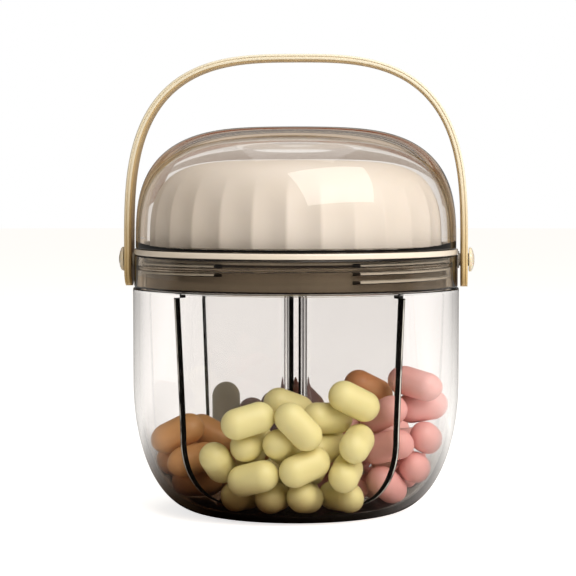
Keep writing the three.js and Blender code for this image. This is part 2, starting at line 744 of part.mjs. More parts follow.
// Starting places for a heap: the chosen ones first, then more by an even spread
function startHeap(heap) {
  const count = heap.shown + heap.hidden;
  const lowestShare = 0.06;
  const nearestShare = 0.3;
  const rangeShare = 0.2;
  const fanShare = 0.9;
  const tiltShare = 0.5;
  const stepShares = { out: 0.618, side: 0.414, turn: 0.267, rise: 0.732 };
  const places = [...heap.shares];
  for (let i = places.length; i < count; i++) {
    const upShare = lowestShare + (heap.fillShare * (i + 1 / 2)) / count;
    const outShare = nearestShare + rangeShare * spread(i, stepShares.out);
    const sideShare = outShare * fanShare * (spread(i, stepShares.side) - 1 / 2);
    const rise = tiltShare * (2 * spread(i, stepShares.rise) - 1);
    places.push([sideShare, outShare, upShare, spread(i, stepShares.turn), rise]);
  }
  return places.map(startCaplet);
}

// The closest points of two rods, as shares along each, and the way from one to the other
function closest([a, b], [c, d]) {
  const u = b.clone().sub(a);
  const v = d.clone().sub(c);
  const w = a.clone().sub(c);
  const uu = u.dot(u);
  const uv = u.dot(v);
  const vv = v.dot(v);
  const uw = u.dot(w);
  const vw = v.dot(w);
  const scale = uu * vv - uv * uv;
  const skewShare = 0.001;
  let s = 1 / 2;
  if (scale > skewShare * uu * vv) s = THREE.MathUtils.clamp((uv * vw - vv * uw) / scale, 0, 1);
  const t = THREE.MathUtils.clamp((uv * s + vw) / vv, 0, 1);
  s = THREE.MathUtils.clamp((uv * t - uw) / uu, 0, 1);
  const from = a.clone().addScaledVector(u, s);
  const to = c.clone().addScaledVector(v, t);
  return { s, t, from, to, way: to.clone().sub(from) };
}

// Moves two rods apart where they are too close; the first one takes its share of the way
function pushApart(first, second, share) {
  const { s, t, way } = closest(first, second);
  const short = CAPLET_W + CAPLET_GAP - way.length();
  if (short <= 0) return;
  const firstWay = way.clone().setLength(short * share);
  const secondWay = way.clone().setLength(short * (1 - share));
  first[0].addScaledVector(firstWay, s - 1);
  first[1].addScaledVector(firstWay, -s);
  second[0].addScaledVector(secondWay, 1 - t);
  second[1].addScaledVector(secondWay, t);
}

// Keeps a rod's end inside its compartment: off the vanes, the wall, the corner and the floor
function keepInside(end) {
  const fromVane = VANE_T / 2 + CAPLET_FROM_WALL;
  const slack = (end.x - Math.abs(end.y)) / Math.SQRT2 - fromVane;
  if (slack < 0) {
    end.x -= slack / Math.SQRT2;
    end.y += (Math.sign(end.y) * slack) / Math.SQRT2;
  }
  const reach = JAR_INNER_R - CAPLET_FROM_WALL;
  const flat = FOOT_R;
  const low = JAR_WALL + CAPLET_FROM_WALL;
  const r = Math.hypot(end.x, end.y);
  if (end.z < CORNER_H && r > flat) {
    const across = (r - flat) / (reach - flat);
    const down = (CORNER_H - end.z) / (CORNER_H - low);
    const out = (across ** CORNER_POWER + down ** CORNER_POWER) ** (1 / CORNER_POWER);
    if (out > 1) {
      const kept = (flat + (r - flat) / out) / r;
      end.x *= kept;
      end.y *= kept;
      end.z = CORNER_H - (CORNER_H - end.z) / out;
    }
  } else if (r > reach) {
    end.x *= reach / r;
    end.y *= reach / r;
  }
  end.z = Math.max(end.z, low);
}

function keepLength(caplet) {
  const middle = caplet[0].clone().add(caplet[1]).divideScalar(2);
  const half = caplet[1].clone().sub(middle).setLength(CAPLET_HALF);
  caplet[0].copy(middle).sub(half);
  caplet[1].copy(middle).add(half);
}

// Pulls an end back towards its chosen place, only weakly along the loose way
function pullBack(end, home, loose) {
  const kept = THREE.MathUtils.lerp(end[loose], home[loose], LOOSE_SHARE);
  end.lerp(home, HOME_SHARE);
  end[loose] = kept;
}

// Whether a caplet has no lower one to rest on and is clear of the floor
function isLoose(caplet, caplets) {
  const height = caplet[0].z + caplet[1].z;
  if (Math.min(caplet[0].z, caplet[1].z) < JAR_WALL + CAPLET_FROM_WALL + REST_GAP) return false;
  return !caplets.some((other) => (
    other[0].z + other[1].z < height && closest(caplet, other).way.length() < CAPLET_W + CAPLET_GAP + REST_GAP
  ));
}

// Lets a heap sink in smaller and smaller steps, then spreads what still touches; the held ones
// keep going back to where they were put, and later sink until they rest on a lower one
function settle(caplets, held, loose) {
  const ends = caplets.slice(0, held).flat();
  const homes = ends.map((end) => end.clone());
  for (let round = 0; round < DROP_ROUNDS + SPREAD_ROUNDS; round++) {
    const drop = DROP_STEP * Math.max(0, 1 - round / DROP_ROUNDS);
    if (round < PULL_ROUNDS) homes.forEach((home, i) => pullBack(ends[i], home, loose));
    const falling = caplets.filter((caplet, i) => (
      i >= held || (round >= PULL_ROUNDS && isLoose(caplet, caplets))
    ));
    for (const end of falling.flat()) {
      end.z -= drop;
      end.x -= (drop * INWARD_SHARE * end.x) / JAR_INNER_R;
    }
    for (let i = 0; i < caplets.length; i++) {
      for (let j = i + 1; j < caplets.length; j++) {
        pushApart(caplets[i], caplets[j], i < held && j >= held ? HELD_SHARE : 1 / 2);
      }
    }
    for (const caplet of caplets) {
      keepInside(caplet[0]);
      keepInside(caplet[1]);
      keepLength(caplet);
    }
  }
}

// How far a caplet lies behind the ones that show: in from the wall or down from the top
function hiddenDepth(caplet, top) {
  const middle = caplet[0].clone().add(caplet[1]).divideScalar(2);
  const outer = Math.max(Math.hypot(caplet[0].x, caplet[0].y), Math.hypot(caplet[1].x, caplet[1].y));
  return Math.min(JAR_INNER_R - outer, top - middle.z);
}

// Where a caplet's own shape goes: long side along its rod, thin side towards the wall
function placing(caplet) {
  const middle = caplet[0].clone().add(caplet[1]).divideScalar(2);
  const long = caplet[1].clone().sub(caplet[0]).normalize();
  const thin = new THREE.Vector3(middle.x, middle.y, 0).normalize();
  thin.addScaledVector(long, -thin.dot(long)).normalize();
  const wide = new THREE.Vector3().crossVectors(long, thin);
  return new THREE.Matrix4().makeBasis(wide, long, thin).setPosition(middle);
}

function capletGeometry(sides, capSteps) {
  const shape = new THREE.CapsuleGeometry(CAPLET_W / 2, CAPLET_L - CAPLET_W, capSteps, sides);
  return shape.scale(1, 1, CAPLET_T / CAPLET_W);
}

// The hidden caplets of a heap as one body: each is bridged to its nearest joined neighbour
function makeBed(heap, caplets) {
  const shape = capletGeometry(BED_SIDES, 1);
  const solids = caplets.map((caplet) => solid(shape.clone().applyMatrix4(placing(caplet))));
  let bed = solids[0];
  const joined = [0];
  while (joined.length < caplets.length) {
    let best = null;
    for (const i of joined) {
      for (let j = 0; j < caplets.length; j++) {
        if (joined.includes(j)) continue;
        const near = closest(caplets[i], caplets[j]);
        if (!best || near.way.length() < best.near.way.length()) best = { j, near };
      }
    }
    const { from, way } = best.near;
    const up = new THREE.Vector3(0, 1, 0);
    const turn = new THREE.Quaternion().setFromUnitVectors(up, way.clone().normalize());
    const bridge = new THREE.CylinderGeometry(BRIDGE_R, BRIDGE_R, way.length(), BRIDGE_SIDES);
    bridge.applyQuaternion(turn).translate(...from.clone().addScaledVector(way, 1 / 2).toArray());
    bed = bed.add(solids[best.j]).add(solid(bridge));
    joined.push(best.j);
  }
  return piece(`caplets_${heap.name}_bed`, bed, heap.colour, 0.5);
}

// One compartment's caplets, in a group that faces its way
function makeHeap(heap) {
  const started = startHeap(heap);
  const held = heap.shares.length;
  settle(started, held, heap.loose);
  const top = Math.max(...started.map((caplet) => (caplet[0].z + caplet[1].z) / 2));
  const rest = started.slice(held).sort((a, b) => hiddenDepth(a, top) - hiddenDepth(b, top));
  const caplets = [...started.slice(0, held), ...rest];
  const group = new THREE.Group();
  const shape = piece("", solid(capletGeometry(CAPLET_SIDES, CAPLET_CAP_STEPS)), heap.colour, 0.5);
  for (let i = 0; i < heap.shown; i++) {
    const caplet = new THREE.Mesh(shape.geometry, shape.material.clone());
    caplet.name = `caplet_${heap.name}_${String(i + 1).padStart(2, "0")}`;
    caplet.applyMatrix4(placing(caplets[i]));
    group.add(caplet);
  }
  group.add(makeBed(heap, caplets.slice(heap.shown)));
  group.rotation.z = THREE.MathUtils.degToRad(heap.facing);
  return group;
}

const bottle = new THREE.Group();
bottle.add(
  makeJar(),
  makeDivider(),
  makeGasket(),
  makeCollar(),
  makeCollarRing(),
  makeCoverSeal(),
  makeCover(),
  makeDome(),
  makeSelectorBase(),
  makeShutter(),
  makeShutterClip(),
  makeHandle(),
  makePivotCap("pivot_cap_left", -1),
  makePivotCap("pivot_cap_right", 1),
  ...HEAPS.map(makeHeap),
);

export default bottle;
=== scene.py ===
from math import atan2, ceil, cos, degrees, hypot, pi, radians, sin
import bpy
import numpy
from mathutils import Matrix, Vector


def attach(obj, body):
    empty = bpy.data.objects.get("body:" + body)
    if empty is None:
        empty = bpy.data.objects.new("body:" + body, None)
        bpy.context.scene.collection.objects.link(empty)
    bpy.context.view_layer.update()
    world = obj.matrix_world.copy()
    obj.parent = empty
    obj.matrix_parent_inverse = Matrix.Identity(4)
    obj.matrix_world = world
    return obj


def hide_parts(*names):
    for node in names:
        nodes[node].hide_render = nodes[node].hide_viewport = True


# Travel pill bottle, in metres, standing on Z = 0 with its front towards -Y. The sizes of the
# pieces are written in millimetres and become metres where a mesh is made.
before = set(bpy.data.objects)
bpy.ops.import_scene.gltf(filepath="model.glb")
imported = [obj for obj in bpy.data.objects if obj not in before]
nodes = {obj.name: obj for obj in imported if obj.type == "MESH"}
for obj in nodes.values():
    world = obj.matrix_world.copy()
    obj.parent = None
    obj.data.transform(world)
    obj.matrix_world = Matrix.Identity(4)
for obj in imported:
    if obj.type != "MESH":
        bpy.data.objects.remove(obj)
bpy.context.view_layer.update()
mm = 0.001


# Jar
# The body is one clear moulding: a flat foot, a wide rounded lower corner, a straight wall, a
# narrow shoulder and a threaded neck. It is polished and faintly warm where the light has to
# travel a long way inside the wall.
jar_r = 42
jar_wall = 1.7
jar_inner_r = jar_r - jar_wall
foot_r = 24
foot_flat_r = 12
corner_h = 34
corner_power = 2.15
corner_steps = 40
wall_top_z = 56.5
shoulder_z = 57.6
shoulder_under_z = 57.2
neck_r = 38.8
neck_inner_r = 37.7
neck_foot_z = 58.2
neck_top_z = 65.4
rim_z = 65.8

# The thread is five ribs of less than half a turn, right and left in turn, each a half pitch
# above the one before, so the neck is smooth at the front and the back.
thread_pitch = 2.05
thread_z = 60.45
rib_count = 5
rib_span_deg = 131.2
rib_run_out_deg = 1.4
rib_h = 0.85
rib_half_root = 0.5
rib_half_crest = 0.2
thread_step = 0.08


def linear(hexa):
    """A colour written as sRGB hex, as the linear numbers that a shader takes."""
    out = []
    for k in (0, 2, 4):
        c = int(hexa[k:k + 2], 16) / 255
        out.append(c / 12.92 if c <= 0.04045 else ((c + 0.055) / 1.055) ** 2.4)
    return (*out, 1.0)


def add(tree, kind, settings=None, **inputs):
    """One shader node with its settings. An input is a value or another node's output, under its
    socket's name, or as in0, in1, in2 by place where sockets share a name."""
    made = tree.nodes.new(kind)
    for key, value in (settings or {}).items():
        setattr(made, key, value)
    for key, value in inputs.items():
        by_place = key.startswith("in") and key[2:].isdigit()
        socket = made.inputs[int(key[2:]) if by_place else key.replace("_", " ")]
        if isinstance(value, bpy.types.NodeSocket):
            tree.links.new(value, socket)
        else:
            socket.default_value = value
    return made


def set_stops(ramp, stops):
    """Gives a colour ramp these stops, each a place and a linear colour, and no others."""
    for element, (at, colour) in zip(ramp.elements, (stops[0], stops[-1])):
        element.position, element.color = at, colour
    for at, colour in stops[1:-1]:
        ramp.elements.new(at).color = colour


def new_material(name):
    """An empty material: its node tree and its output node."""
    material = bpy.data.materials.new(name)
    material.use_nodes = True
    tree = material.node_tree
    tree.nodes.clear()
    return material, tree, tree.nodes.new("ShaderNodeOutputMaterial")


def clear_plastic(name, absorb, density, wave_mm, wave_depth):
    """Polished clear acrylic: refracts, darkens along the light's way through it, lets the lamps
    reach what is behind it, and has the slow waviness and faint rubbing of a moulded wall."""
    material, tree, out = new_material(name)
    place = add(tree, "ShaderNodeTexCoord").outputs["Object"]
    slow = add(tree, "ShaderNodeTexNoise", Vector=place, Scale=1 / (wave_mm * mm), Detail=1.0)
    bump = add(tree, "ShaderNodeBump", Strength=wave_depth, Distance=0.2 * mm,
               Height=slow.outputs["Fac"])
    wear = add(tree, "ShaderNodeTexNoise", Vector=place, Scale=1 / (2.38 * mm), Detail=3.0)
    rub = add(tree, "ShaderNodeMapRange", Value=wear.outputs["Fac"], From_Min=0.45, From_Max=0.8,
              To_Min=0.0, To_Max=0.02)
    body = add(tree, "ShaderNodeBsdfPrincipled", Base_Color=(1, 1, 1, 1), IOR=1.49,
               Roughness=rub.outputs["Result"], Normal=bump.outputs["Normal"],
               Transmission_Weight=1.0)
    through = add(tree, "ShaderNodeBsdfTransparent", Color=(0.96, 0.96, 0.96, 1))
    path = add(tree, "ShaderNodeLightPath")
    lighting = add(tree, "ShaderNodeMath", {"operation": "MAXIMUM"},
                   in0=path.outputs["Is Shadow Ray"], in1=path.outputs["Is Diffuse Ray"])
    mixed = add(tree, "ShaderNodeMixShader", in0=lighting.outputs[0], in1=body.outputs[0],
                in2=through.outputs[0])
    tree.links.new(mixed.outputs[0], out.inputs["Surface"])
    tint = add(tree, "ShaderNodeVolumeAbsorption", Color=linear(absorb), Density=density)
    tree.links.new(tint.outputs[0], out.inputs["Volume"])
    return material


def painted_edge_tone(name, shade, rough):
    """A flat colour painted on a narrow face of clear plastic: painted light or shade that stands in for
    the one tone such a face shows whatever lies behind it."""
    material, tree, out = new_material(name)
    face = add(tree, "ShaderNodeBsdfPrincipled", Base_Color=linear(shade), Roughness=rough)
    tree.links.new(face.outputs[0], out.inputs["Surface"])
    return material


def superellipse(flat_r, r, z0, h, power, steps, inset=0.0):
    """A quarter from the side wall up to a crown's flat, in mm; inset moves it inwards."""
    points = []
    for i in range(steps + 1):
        t = pi / 2 * i / steps
        across = max(cos(t), 0.0) ** (2 / power)
        up = sin(t) ** (2 / power)
        nx = across ** (power - 1) / (r - flat_r)
        nz = up ** (power - 1) / h
        length = hypot(nx, nz)
        points.append((flat_r + (r - flat_r) * across - inset * nx / length,
                       z0 + h * up - inset * nz / length))
    return points


def softened(corners, steps=5):
    """A profile of (radius, height, rounding) corners as points with the corners rounded."""
    out = []
    for i, (r, z, fillet) in enumerate(corners):
        here = Vector((r, z))
        if fillet == 0 or i in (0, len(corners) - 1):
            out.append((r, z))
            continue
        back = Vector(corners[i - 1][:2]) - here
        ahead = Vector(corners[i + 1][:2]) - here
        cut = min(fillet, back.length * 0.45, ahead.length * 0.45)
        start = here + back.normalized() * cut
        end = here + ahead.normalized() * cut
        for k in range(steps + 1):
            t = k / steps
            point = start * (1 - t) ** 2 + here * 2 * t * (1 - t) + end * t ** 2
            out.append((point.x, point.y))
    return out


def spaced(points, step):
    """More points along a profile's lines, so that no stretch is longer than a step in mm."""
    out = [points[0]]
    for (r0, z0), (r1, z1) in zip(points, points[1:]):
        parts = max(1, ceil(hypot(r1 - r0, z1 - z0) / step))
        for k in range(1, parts + 1):
            out.append((r0 + (r1 - r0) * k / parts, z0 + (z1 - z0) * k / parts))
    return out


def obj_from(name, verts, faces, sharp=40):
    """A shown object from points in metres, smooth except at edges sharper than an angle."""
    mesh = bpy.data.meshes.new(name)
    mesh.from_pydata(verts, [], faces)
    mesh.validate()
    mesh.shade_smooth()
    mesh.set_sharp_from_angle(angle=radians(sharp))
    made = bpy.data.objects.new(name, mesh)
    bpy.context.scene.collection.objects.link(made)
    return made


def lathe(name, profile, turns=256, radius=None, sharp=40, closed=False):
    """A profile of (radius, height) in mm turned about Z. Points on the axis become one point,
    and radius(r, z, angle) may change a radius by the angle."""
    verts, rings, faces = [], [], []
    for r, z in profile:
        if r < 1e-6:
            rings.append([len(verts)])
            verts.append((0, 0, z * mm))
            continue
        ring = []
        for k in range(turns):
            angle = 2 * pi * k / turns
            here = radius(r, z, angle) if radius else r
            ring.append(len(verts))
            verts.append((here * cos(angle) * mm, here * sin(angle) * mm, z * mm))
        rings.append(ring)
    pairs = list(zip(rings, rings[1:])) + ([(rings[-1], rings[0])] if closed else [])
    for low, high in pairs:
        for k in range(turns):
            n = (k + 1) % turns
            if len(low) == 1 and len(high) == 1:
                continue
            if len(low) == 1:
                faces.append((low[0], high[n], high[k]))
            elif len(high) == 1:
                faces.append((low[k], low[n], high[0]))
            else:
                faces.append((low[k], low[n], high[n], high[k]))
    return obj_from(name, verts, faces, sharp)


def rib_share(off):
    """How much of its full height a rib has at a distance from its middle line, in mm."""
    t = min(1.0, max(0.0, (rib_half_root - abs(off)) / (rib_half_root - rib_half_crest)))
    return t * t * (3 - 2 * t)


def neck_radius(r, z, angle):
    """The jar's outside with the thread's ribs on its neck."""
    on_neck = r >= neck_r - 0.1 and shoulder_z + 0.3 < z < rim_z - 0.05
    if not on_neck:
        return r
    best = 0.0
    for i in range(rib_count):
        along = (degrees(angle) - (180 * i - rib_span_deg / 2)) % 360
        if along > rib_span_deg:
            continue
        middle = thread_z + thread_pitch * i / 2 + thread_pitch * along / 360
        end = min(1.0, min(along, rib_span_deg - along) / rib_run_out_deg)
        best = max(best, rib_share(z - middle) * (end * (2 - end)) ** 0.5)
    return r + rib_h * best


outer_corner = superellipse(foot_r, jar_r, 0, corner_h, corner_power, corner_steps)
inner_corner = superellipse(foot_r, jar_r, 0, corner_h, corner_power, corner_steps, jar_wall)
jar_profile = [(0, 0), (foot_flat_r, 0)] + [(r, corner_h - z) for r, z in reversed(outer_corner)]
jar_profile += spaced([(jar_r, corner_h), (jar_r, wall_top_z)], 4)[1:]
jar_profile += softened([(jar_r, wall_top_z, 0), (jar_r, shoulder_z, 0.4), (neck_r, shoulder_z, 0.3),
                         (neck_r, neck_foot_z, 0)])[1:]
jar_profile += spaced([(neck_r, neck_foot_z), (neck_r, neck_top_z)], thread_step)[1:]
jar_profile += softened([(neck_r, neck_top_z, 0), (neck_r, rim_z, 0.3), (neck_inner_r, rim_z, 0.3),
                         (neck_inner_r, shoulder_under_z, 0.15), (jar_inner_r, shoulder_under_z, 0.25),
                         (jar_inner_r, 56.85, 0), (jar_inner_r, 50, 0)])[1:]
jar_profile += [(r, corner_h - z) for r, z in inner_corner] + [(foot_flat_r, jar_wall), (0, jar_wall)]
jar = lathe("jar_body", jar_profile, 288, neck_radius, 60)
jar_plastic = clear_plastic("clear acrylic", "E9DFD2", 14.0, 60, 0.02)
# The thick foot has a painted shade from under the bottle: brown that fades out upwards and reaches
# higher on the left, away from the lamp. It also darkens the light let through the foot.
tree = jar_plastic.node_tree
place = add(tree, "ShaderNodeSeparateXYZ", Vector=add(tree, "ShaderNodeTexCoord").outputs["Object"])
tilted = add(tree, "ShaderNodeMath", {"operation": "MULTIPLY_ADD"}, in0=place.outputs["X"], in1=0.18,
             in2=place.outputs["Z"])
rise = add(tree, "ShaderNodeMapRange", {"interpolation_type": "SMOOTHSTEP"}, Value=tilted.outputs[0],
           From_Min=-3 * mm, From_Max=12 * mm, To_Min=0.0, To_Max=1.0)
painted_foot_shade = add(tree, "ShaderNodeMixRGB", Fac=rise.outputs["Result"], Color1=linear("8C6840"),
           Color2=(1, 1, 1, 1))
tree.links.new(painted_foot_shade.outputs[0], tree.nodes["Principled BSDF"].inputs["Base Color"])
tree.links.new(painted_foot_shade.outputs[0], tree.nodes["Transparent BSDF"].inputs["Color"])
# Each rib has a painted highlight on its crest and painted shade on its lower slope and ends, so it reads
# through the collar as a pale line over a dark one, which closes round its end.
rib_painted_highlight = painted_edge_tone("thread ribs, light on their crests", "F4F0EA", 0.2)
rib_painted_shade = painted_edge_tone("thread ribs, dark below", "1E1814", 0.3)
# The inside of the neck has the collar's shade painted on: painted brown shade, only part see-through,
# with one painted light line below the rim between two painted dark ones.
neck, tree, out = new_material("neck wall, painted collar shade")
place = add(tree, "ShaderNodeSeparateXYZ", Vector=add(tree, "ShaderNodeTexCoord").outputs["Object"])
level = add(tree, "ShaderNodeMapRange", Value=place.outputs["Z"], From_Min=57 * mm, From_Max=66 * mm)
painted_shade_bands = add(tree, "ShaderNodeValToRGB", Fac=level.outputs["Result"])
set_stops(painted_shade_bands.color_ramp, [(at, linear(shade)) for at, shade in (
    (0.0, "8C8276"), (0.15, "766C60"), (0.45, "A09486"), (0.76, "A09486"), (0.80, "3A3028"),
    (0.84, "3A3028"), (0.86, "D8CEC2"), (0.90, "D8CEC2"), (0.92, "40352B"), (1.0, "FFFFFF"),
)])
face = add(tree, "ShaderNodeBsdfPrincipled", Base_Color=painted_shade_bands.outputs["Color"], Roughness=0.3,
           Transmission_Weight=0.2)
tree.links.new(face.outputs[0], out.inputs["Surface"])
for material in (jar_plastic, rib_painted_highlight, rib_painted_shade, neck):
    jar.data.materials.append(material)
# Rib faces get the painted highlight or the painted shade by their slope; the neck's inside gets its
# painted collar shade.
for polygon in jar.data.polygons:
    x, y, z = polygon.center / mm
    on_rib = 57.95 < z < neck_top_z and hypot(x, y) > neck_r + 0.07
    at_rib_end = abs(degrees(atan2(y, abs(x)))) > 63.2
    if on_rib:
        polygon.material_index = 2 if polygon.normal.z < -0.6 or at_rib_end else 1
    elif z > 57.3 and hypot(x, y) < neck_inner_r + 0.3:
        polygon.material_index = 3
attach(jar, "jar")
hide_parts("jar")


# Divider
# One loose insert with four vanes round a centre post, cut to the inside of the jar so that each
# compartment is closed off. It is moulded in the same clear plastic with a smoke tint, so it is pale
# through its thin side and dark where it is looked at edge on, with painted shade added on its outer
# ends.
vane_half_t = 0.75
vane_corner_z = 22
vane_corner_w = 23.2
vane_corner_h = 20
vane_corner_power = 2.2
vane_low_reach = 14
vane_draft = 1.9
bore_z = 56.2
bore_reach = 37.4
post_r = 2.3
post_root_r = 2.75
end_rounding = 0.35
rim_rounding = 0.3
divider_low_z = 2.0
divider_top_z = 63.6
# The heights of its rings, closer together where its outline turns.
ring_levels = [2.0, 2.05, 2.15, 2.3, 2.6, 3.0, 3.5, 4.1] + [4.8 + 0.8 * k for k in range(22)]
ring_levels += [22.4 + 2.4 * k for k in range(14)] + [55.6, 55.9, 56.1, 56.199, 56.201, 56.4, 57.5]
ring_levels += [60, 62.6, 63.1, 63.3, 63.45, 63.55, 63.6]


def vane_reach(z):
    """How far out a vane reaches at a height: the wide corner, the drafted side, then the neck."""
    if z > bore_z:
        return bore_reach
    if z > vane_corner_z:
        up = (z - vane_corner_z) / (bore_z - vane_corner_z)
        return vane_low_reach + vane_corner_w + vane_draft * up
    down = min(1.0, (vane_corner_z - z) / vane_corner_h)
    return vane_low_reach + vane_corner_w * (1 - down ** vane_corner_power) ** (1 / vane_corner_power)


def loft(name, rings, sharp=40, closed=False):
    """A skin over rings of points in mm, with two end faces or closed on itself."""
    count = len(rings[0])
    verts = [(x * mm, y * mm, z * mm) for ring in rings for x, y, z in ring]
    faces = []
    for i in range(len(rings) if closed else len(rings) - 1):
        here, there = i * count, (i + 1) % len(rings) * count
        for k in range(count):
            n = (k + 1) % count
            faces.append((here + k, there + k, there + n, here + n))
    if not closed:
        last = len(verts) - count
        faces.append(tuple(range(count)))
        faces.append(tuple(reversed(range(last, last + count))))
    return obj_from(name, verts, faces, sharp)


def divider_ring(z):
    """The divider's outline at a height: four vanes with rounded ends that run into the post."""
    edge = min(z - divider_low_z, divider_top_z - z)
    shrink = rim_rounding * (1 - min(1.0, edge / rim_rounding)) ** 2
    half = vane_half_t - shrink
    reach = vane_reach(z) - shrink
    end = [(reach, 0.0)]
    for k in range(6):
        t = pi / 2 * k / 5
        end.append((reach - end_rounding + end_rounding * cos(t),
                    half - end_rounding + end_rounding * sin(t)))
    flank = [(reach - 0.8, half)]
    flank += [(reach + (post_root_r - reach) * k / 14, half) for k in range(1, 15)]
    start = atan2(half, post_root_r)
    post = []
    for k in range(1, 7):
        t = k / 6
        r = post_r + (hypot(post_root_r, half) - post_r) * (1 - t) ** 2
        angle = start + (pi / 4 - start) * t
        post.append((r * cos(angle), r * sin(angle)))
    upper = end + flank + post
    lower = [(x, -y) for x, y in reversed(upper[1:-1])]
    ring = []
    for vane in range(4):
        turn = pi / 4 + vane * pi / 2
        for x, y in lower + upper:
            ring.append((x * cos(turn) - y * sin(turn), x * sin(turn) + y * cos(turn), z))
    return ring[::-1]


def painted_edge_streaks(name, dark, light, streak_mm, detail, start, full, most):
    """A narrow face painted dark, with painted lighter places along it: painted shade and glints where a
    little light gets out.
    """
    material, tree, out = new_material(name)
    place = add(tree, "ShaderNodeTexCoord").outputs["Object"]
    glint = add(tree, "ShaderNodeTexNoise", Vector=place, Scale=1 / (streak_mm * mm), Detail=detail)
    share = add(tree, "ShaderNodeMapRange", Value=glint.outputs["Fac"], From_Min=start, From_Max=full,
                To_Min=0.0, To_Max=most)
    tone = add(tree, "ShaderNodeMixRGB", Fac=share.outputs["Result"], Color1=linear(dark),
               Color2=linear(light))
    face = add(tree, "ShaderNodeBsdfPrincipled", Base_Color=tone.outputs[0], Roughness=0.3)
    tree.links.new(face.outputs[0], out.inputs["Surface"])
    return material


divider = loft("divider_insert", [divider_ring(z) for z in ring_levels], 50)
divider.data.materials.append(clear_plastic("smoke-tinted acrylic insert", "A89684", 42.0, 25, 0.05))
# The vanes' narrow outer ends and their roots at the post have painted shade, near black with a very soft
# gloss and faint painted glints, for the light that a vane gathers and never lets out towards the eye;
# one half of each end has a painted thin line of light.
vane_end_painted_shade = painted_edge_streaks("vane ends, dark edge on", "060504", "8A8478", 1.6, 2.0, 0.58, 0.7, 0.06)
vane_end_painted_shade.node_tree.nodes["Principled BSDF"].inputs["Specular IOR Level"].default_value = 0.05
divider.data.materials.append(vane_end_painted_shade)
painted_light_line = painted_edge_streaks("vane ends, painted light line", "1C1A17", "D8D5CE", 7, 3.0, 0.36, 0.5, 1.0)
divider.data.materials.append(painted_light_line)
# Painted shade on the ends and roots, and the painted light line on one half of each end.
for polygon in divider.data.polygons:
    x, y, z = polygon.center / mm
    off_vane_deg = abs(degrees(atan2(y, x)) % 90 - 45)
    off_vane = (abs(y) - abs(x)) / 2 ** 0.5
    at_root = hypot(x, y) < 3 and 15 < off_vane_deg < 24
    if at_root or hypot(x, y) > vane_reach(z) - 0.85:
        polygon.material_index = 1
    if hypot(x, y) > vane_reach(z) - 0.2 and -0.45 < off_vane < -0.05 and z < 56:
        polygon.material_index = 2
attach(divider, "jar")
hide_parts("divider")


# Gasket on the jar's rim
# A soft flat silicone ring that the collar's deck presses on to keep damp out. Pale and matt.

def soft_rubber(name, shade, rough):
    """Moulded silicone: one even colour, a dull skin and a fine grain, drawn at 0.6 mm to show."""
    material, tree, out = new_material(name)
    place = add(tree, "ShaderNodeTexCoord").outputs["Object"]
    grain = add(tree, "ShaderNodeTexNoise", Vector=place, Scale=1 / (0.6 * mm), Detail=3.0)
    tone = add(tree, "ShaderNodeMixRGB", {"blend_type": "MULTIPLY"}, Fac=0.12, Color1=linear(shade),
               Color2=grain.outputs["Color"])
    bump = add(tree, "ShaderNodeBump", Strength=0.2, Distance=0.05 * mm, Height=grain.outputs["Fac"])
    body = add(tree, "ShaderNodeBsdfPrincipled", Base_Color=tone.outputs[0], Roughness=rough,
               Normal=bump.outputs["Normal"])
    tree.links.new(body.outputs[0], out.inputs["Surface"])
    return material


def band(name, inner, outer, low, high, fillet):
    """A ring of rectangular section with rounded edges, in mm."""
    middle = (inner + outer) / 2
    section = softened([(middle, low, 0), (outer, low, fillet), (outer, high, fillet),
                        (inner, high, fillet), (inner, low, fillet), (middle, low, 0)])[:-1]
    return lathe(name, section, sharp=50, closed=True)


gasket = band("rim_gasket", 37.75, 38.75, 65.97, 66.43, 0.12)
gasket.data.materials.append(soft_rubber("pale matt silicone", "D8D6D0", 0.7))
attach(gasket, "gasket")
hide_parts("jar_gasket")


# Collar
# The ring that screws on the neck and carries the dome, the cover and the handle: a skirt with a thread
# inside, a deck and a lip. It is clear plastic with a brown smoke tint, polished, so the jar's ribs and
# their painted highlights show through it as pale lines.
collar_r = 41.7
skirt_inner_r = 39.95
skirt_z = 57.9
nut_start_deg = 24.4
nut_span_deg = 450
nut_z = thread_z + 0.75 * thread_pitch
rebate_r = 40.75
rebate_z = 66.05
deck_z = 67.5
deck_under_z = 66.6
deck_inner_r = 33.5
lip_r = 37.9
lip_inner_r = 36.9
lip_z = 68.3


def collar_radius(r, z, angle):
    """The inside of the skirt with its own thread of one and a quarter turns."""
    if abs(r - skirt_inner_r) > 0.02 or not 58.5 < z < 66.2:
        return r
    best = 0.0
    for turn in range(2):
        along = (degrees(angle) - nut_start_deg) % 360 + 360 * turn
        if along > nut_span_deg:
            continue
        end = min(1.0, min(along, nut_span_deg - along) / rib_run_out_deg)
        best = max(best, rib_share(z - nut_z - thread_pitch * along / 360) * end)
    return r - rib_h * best


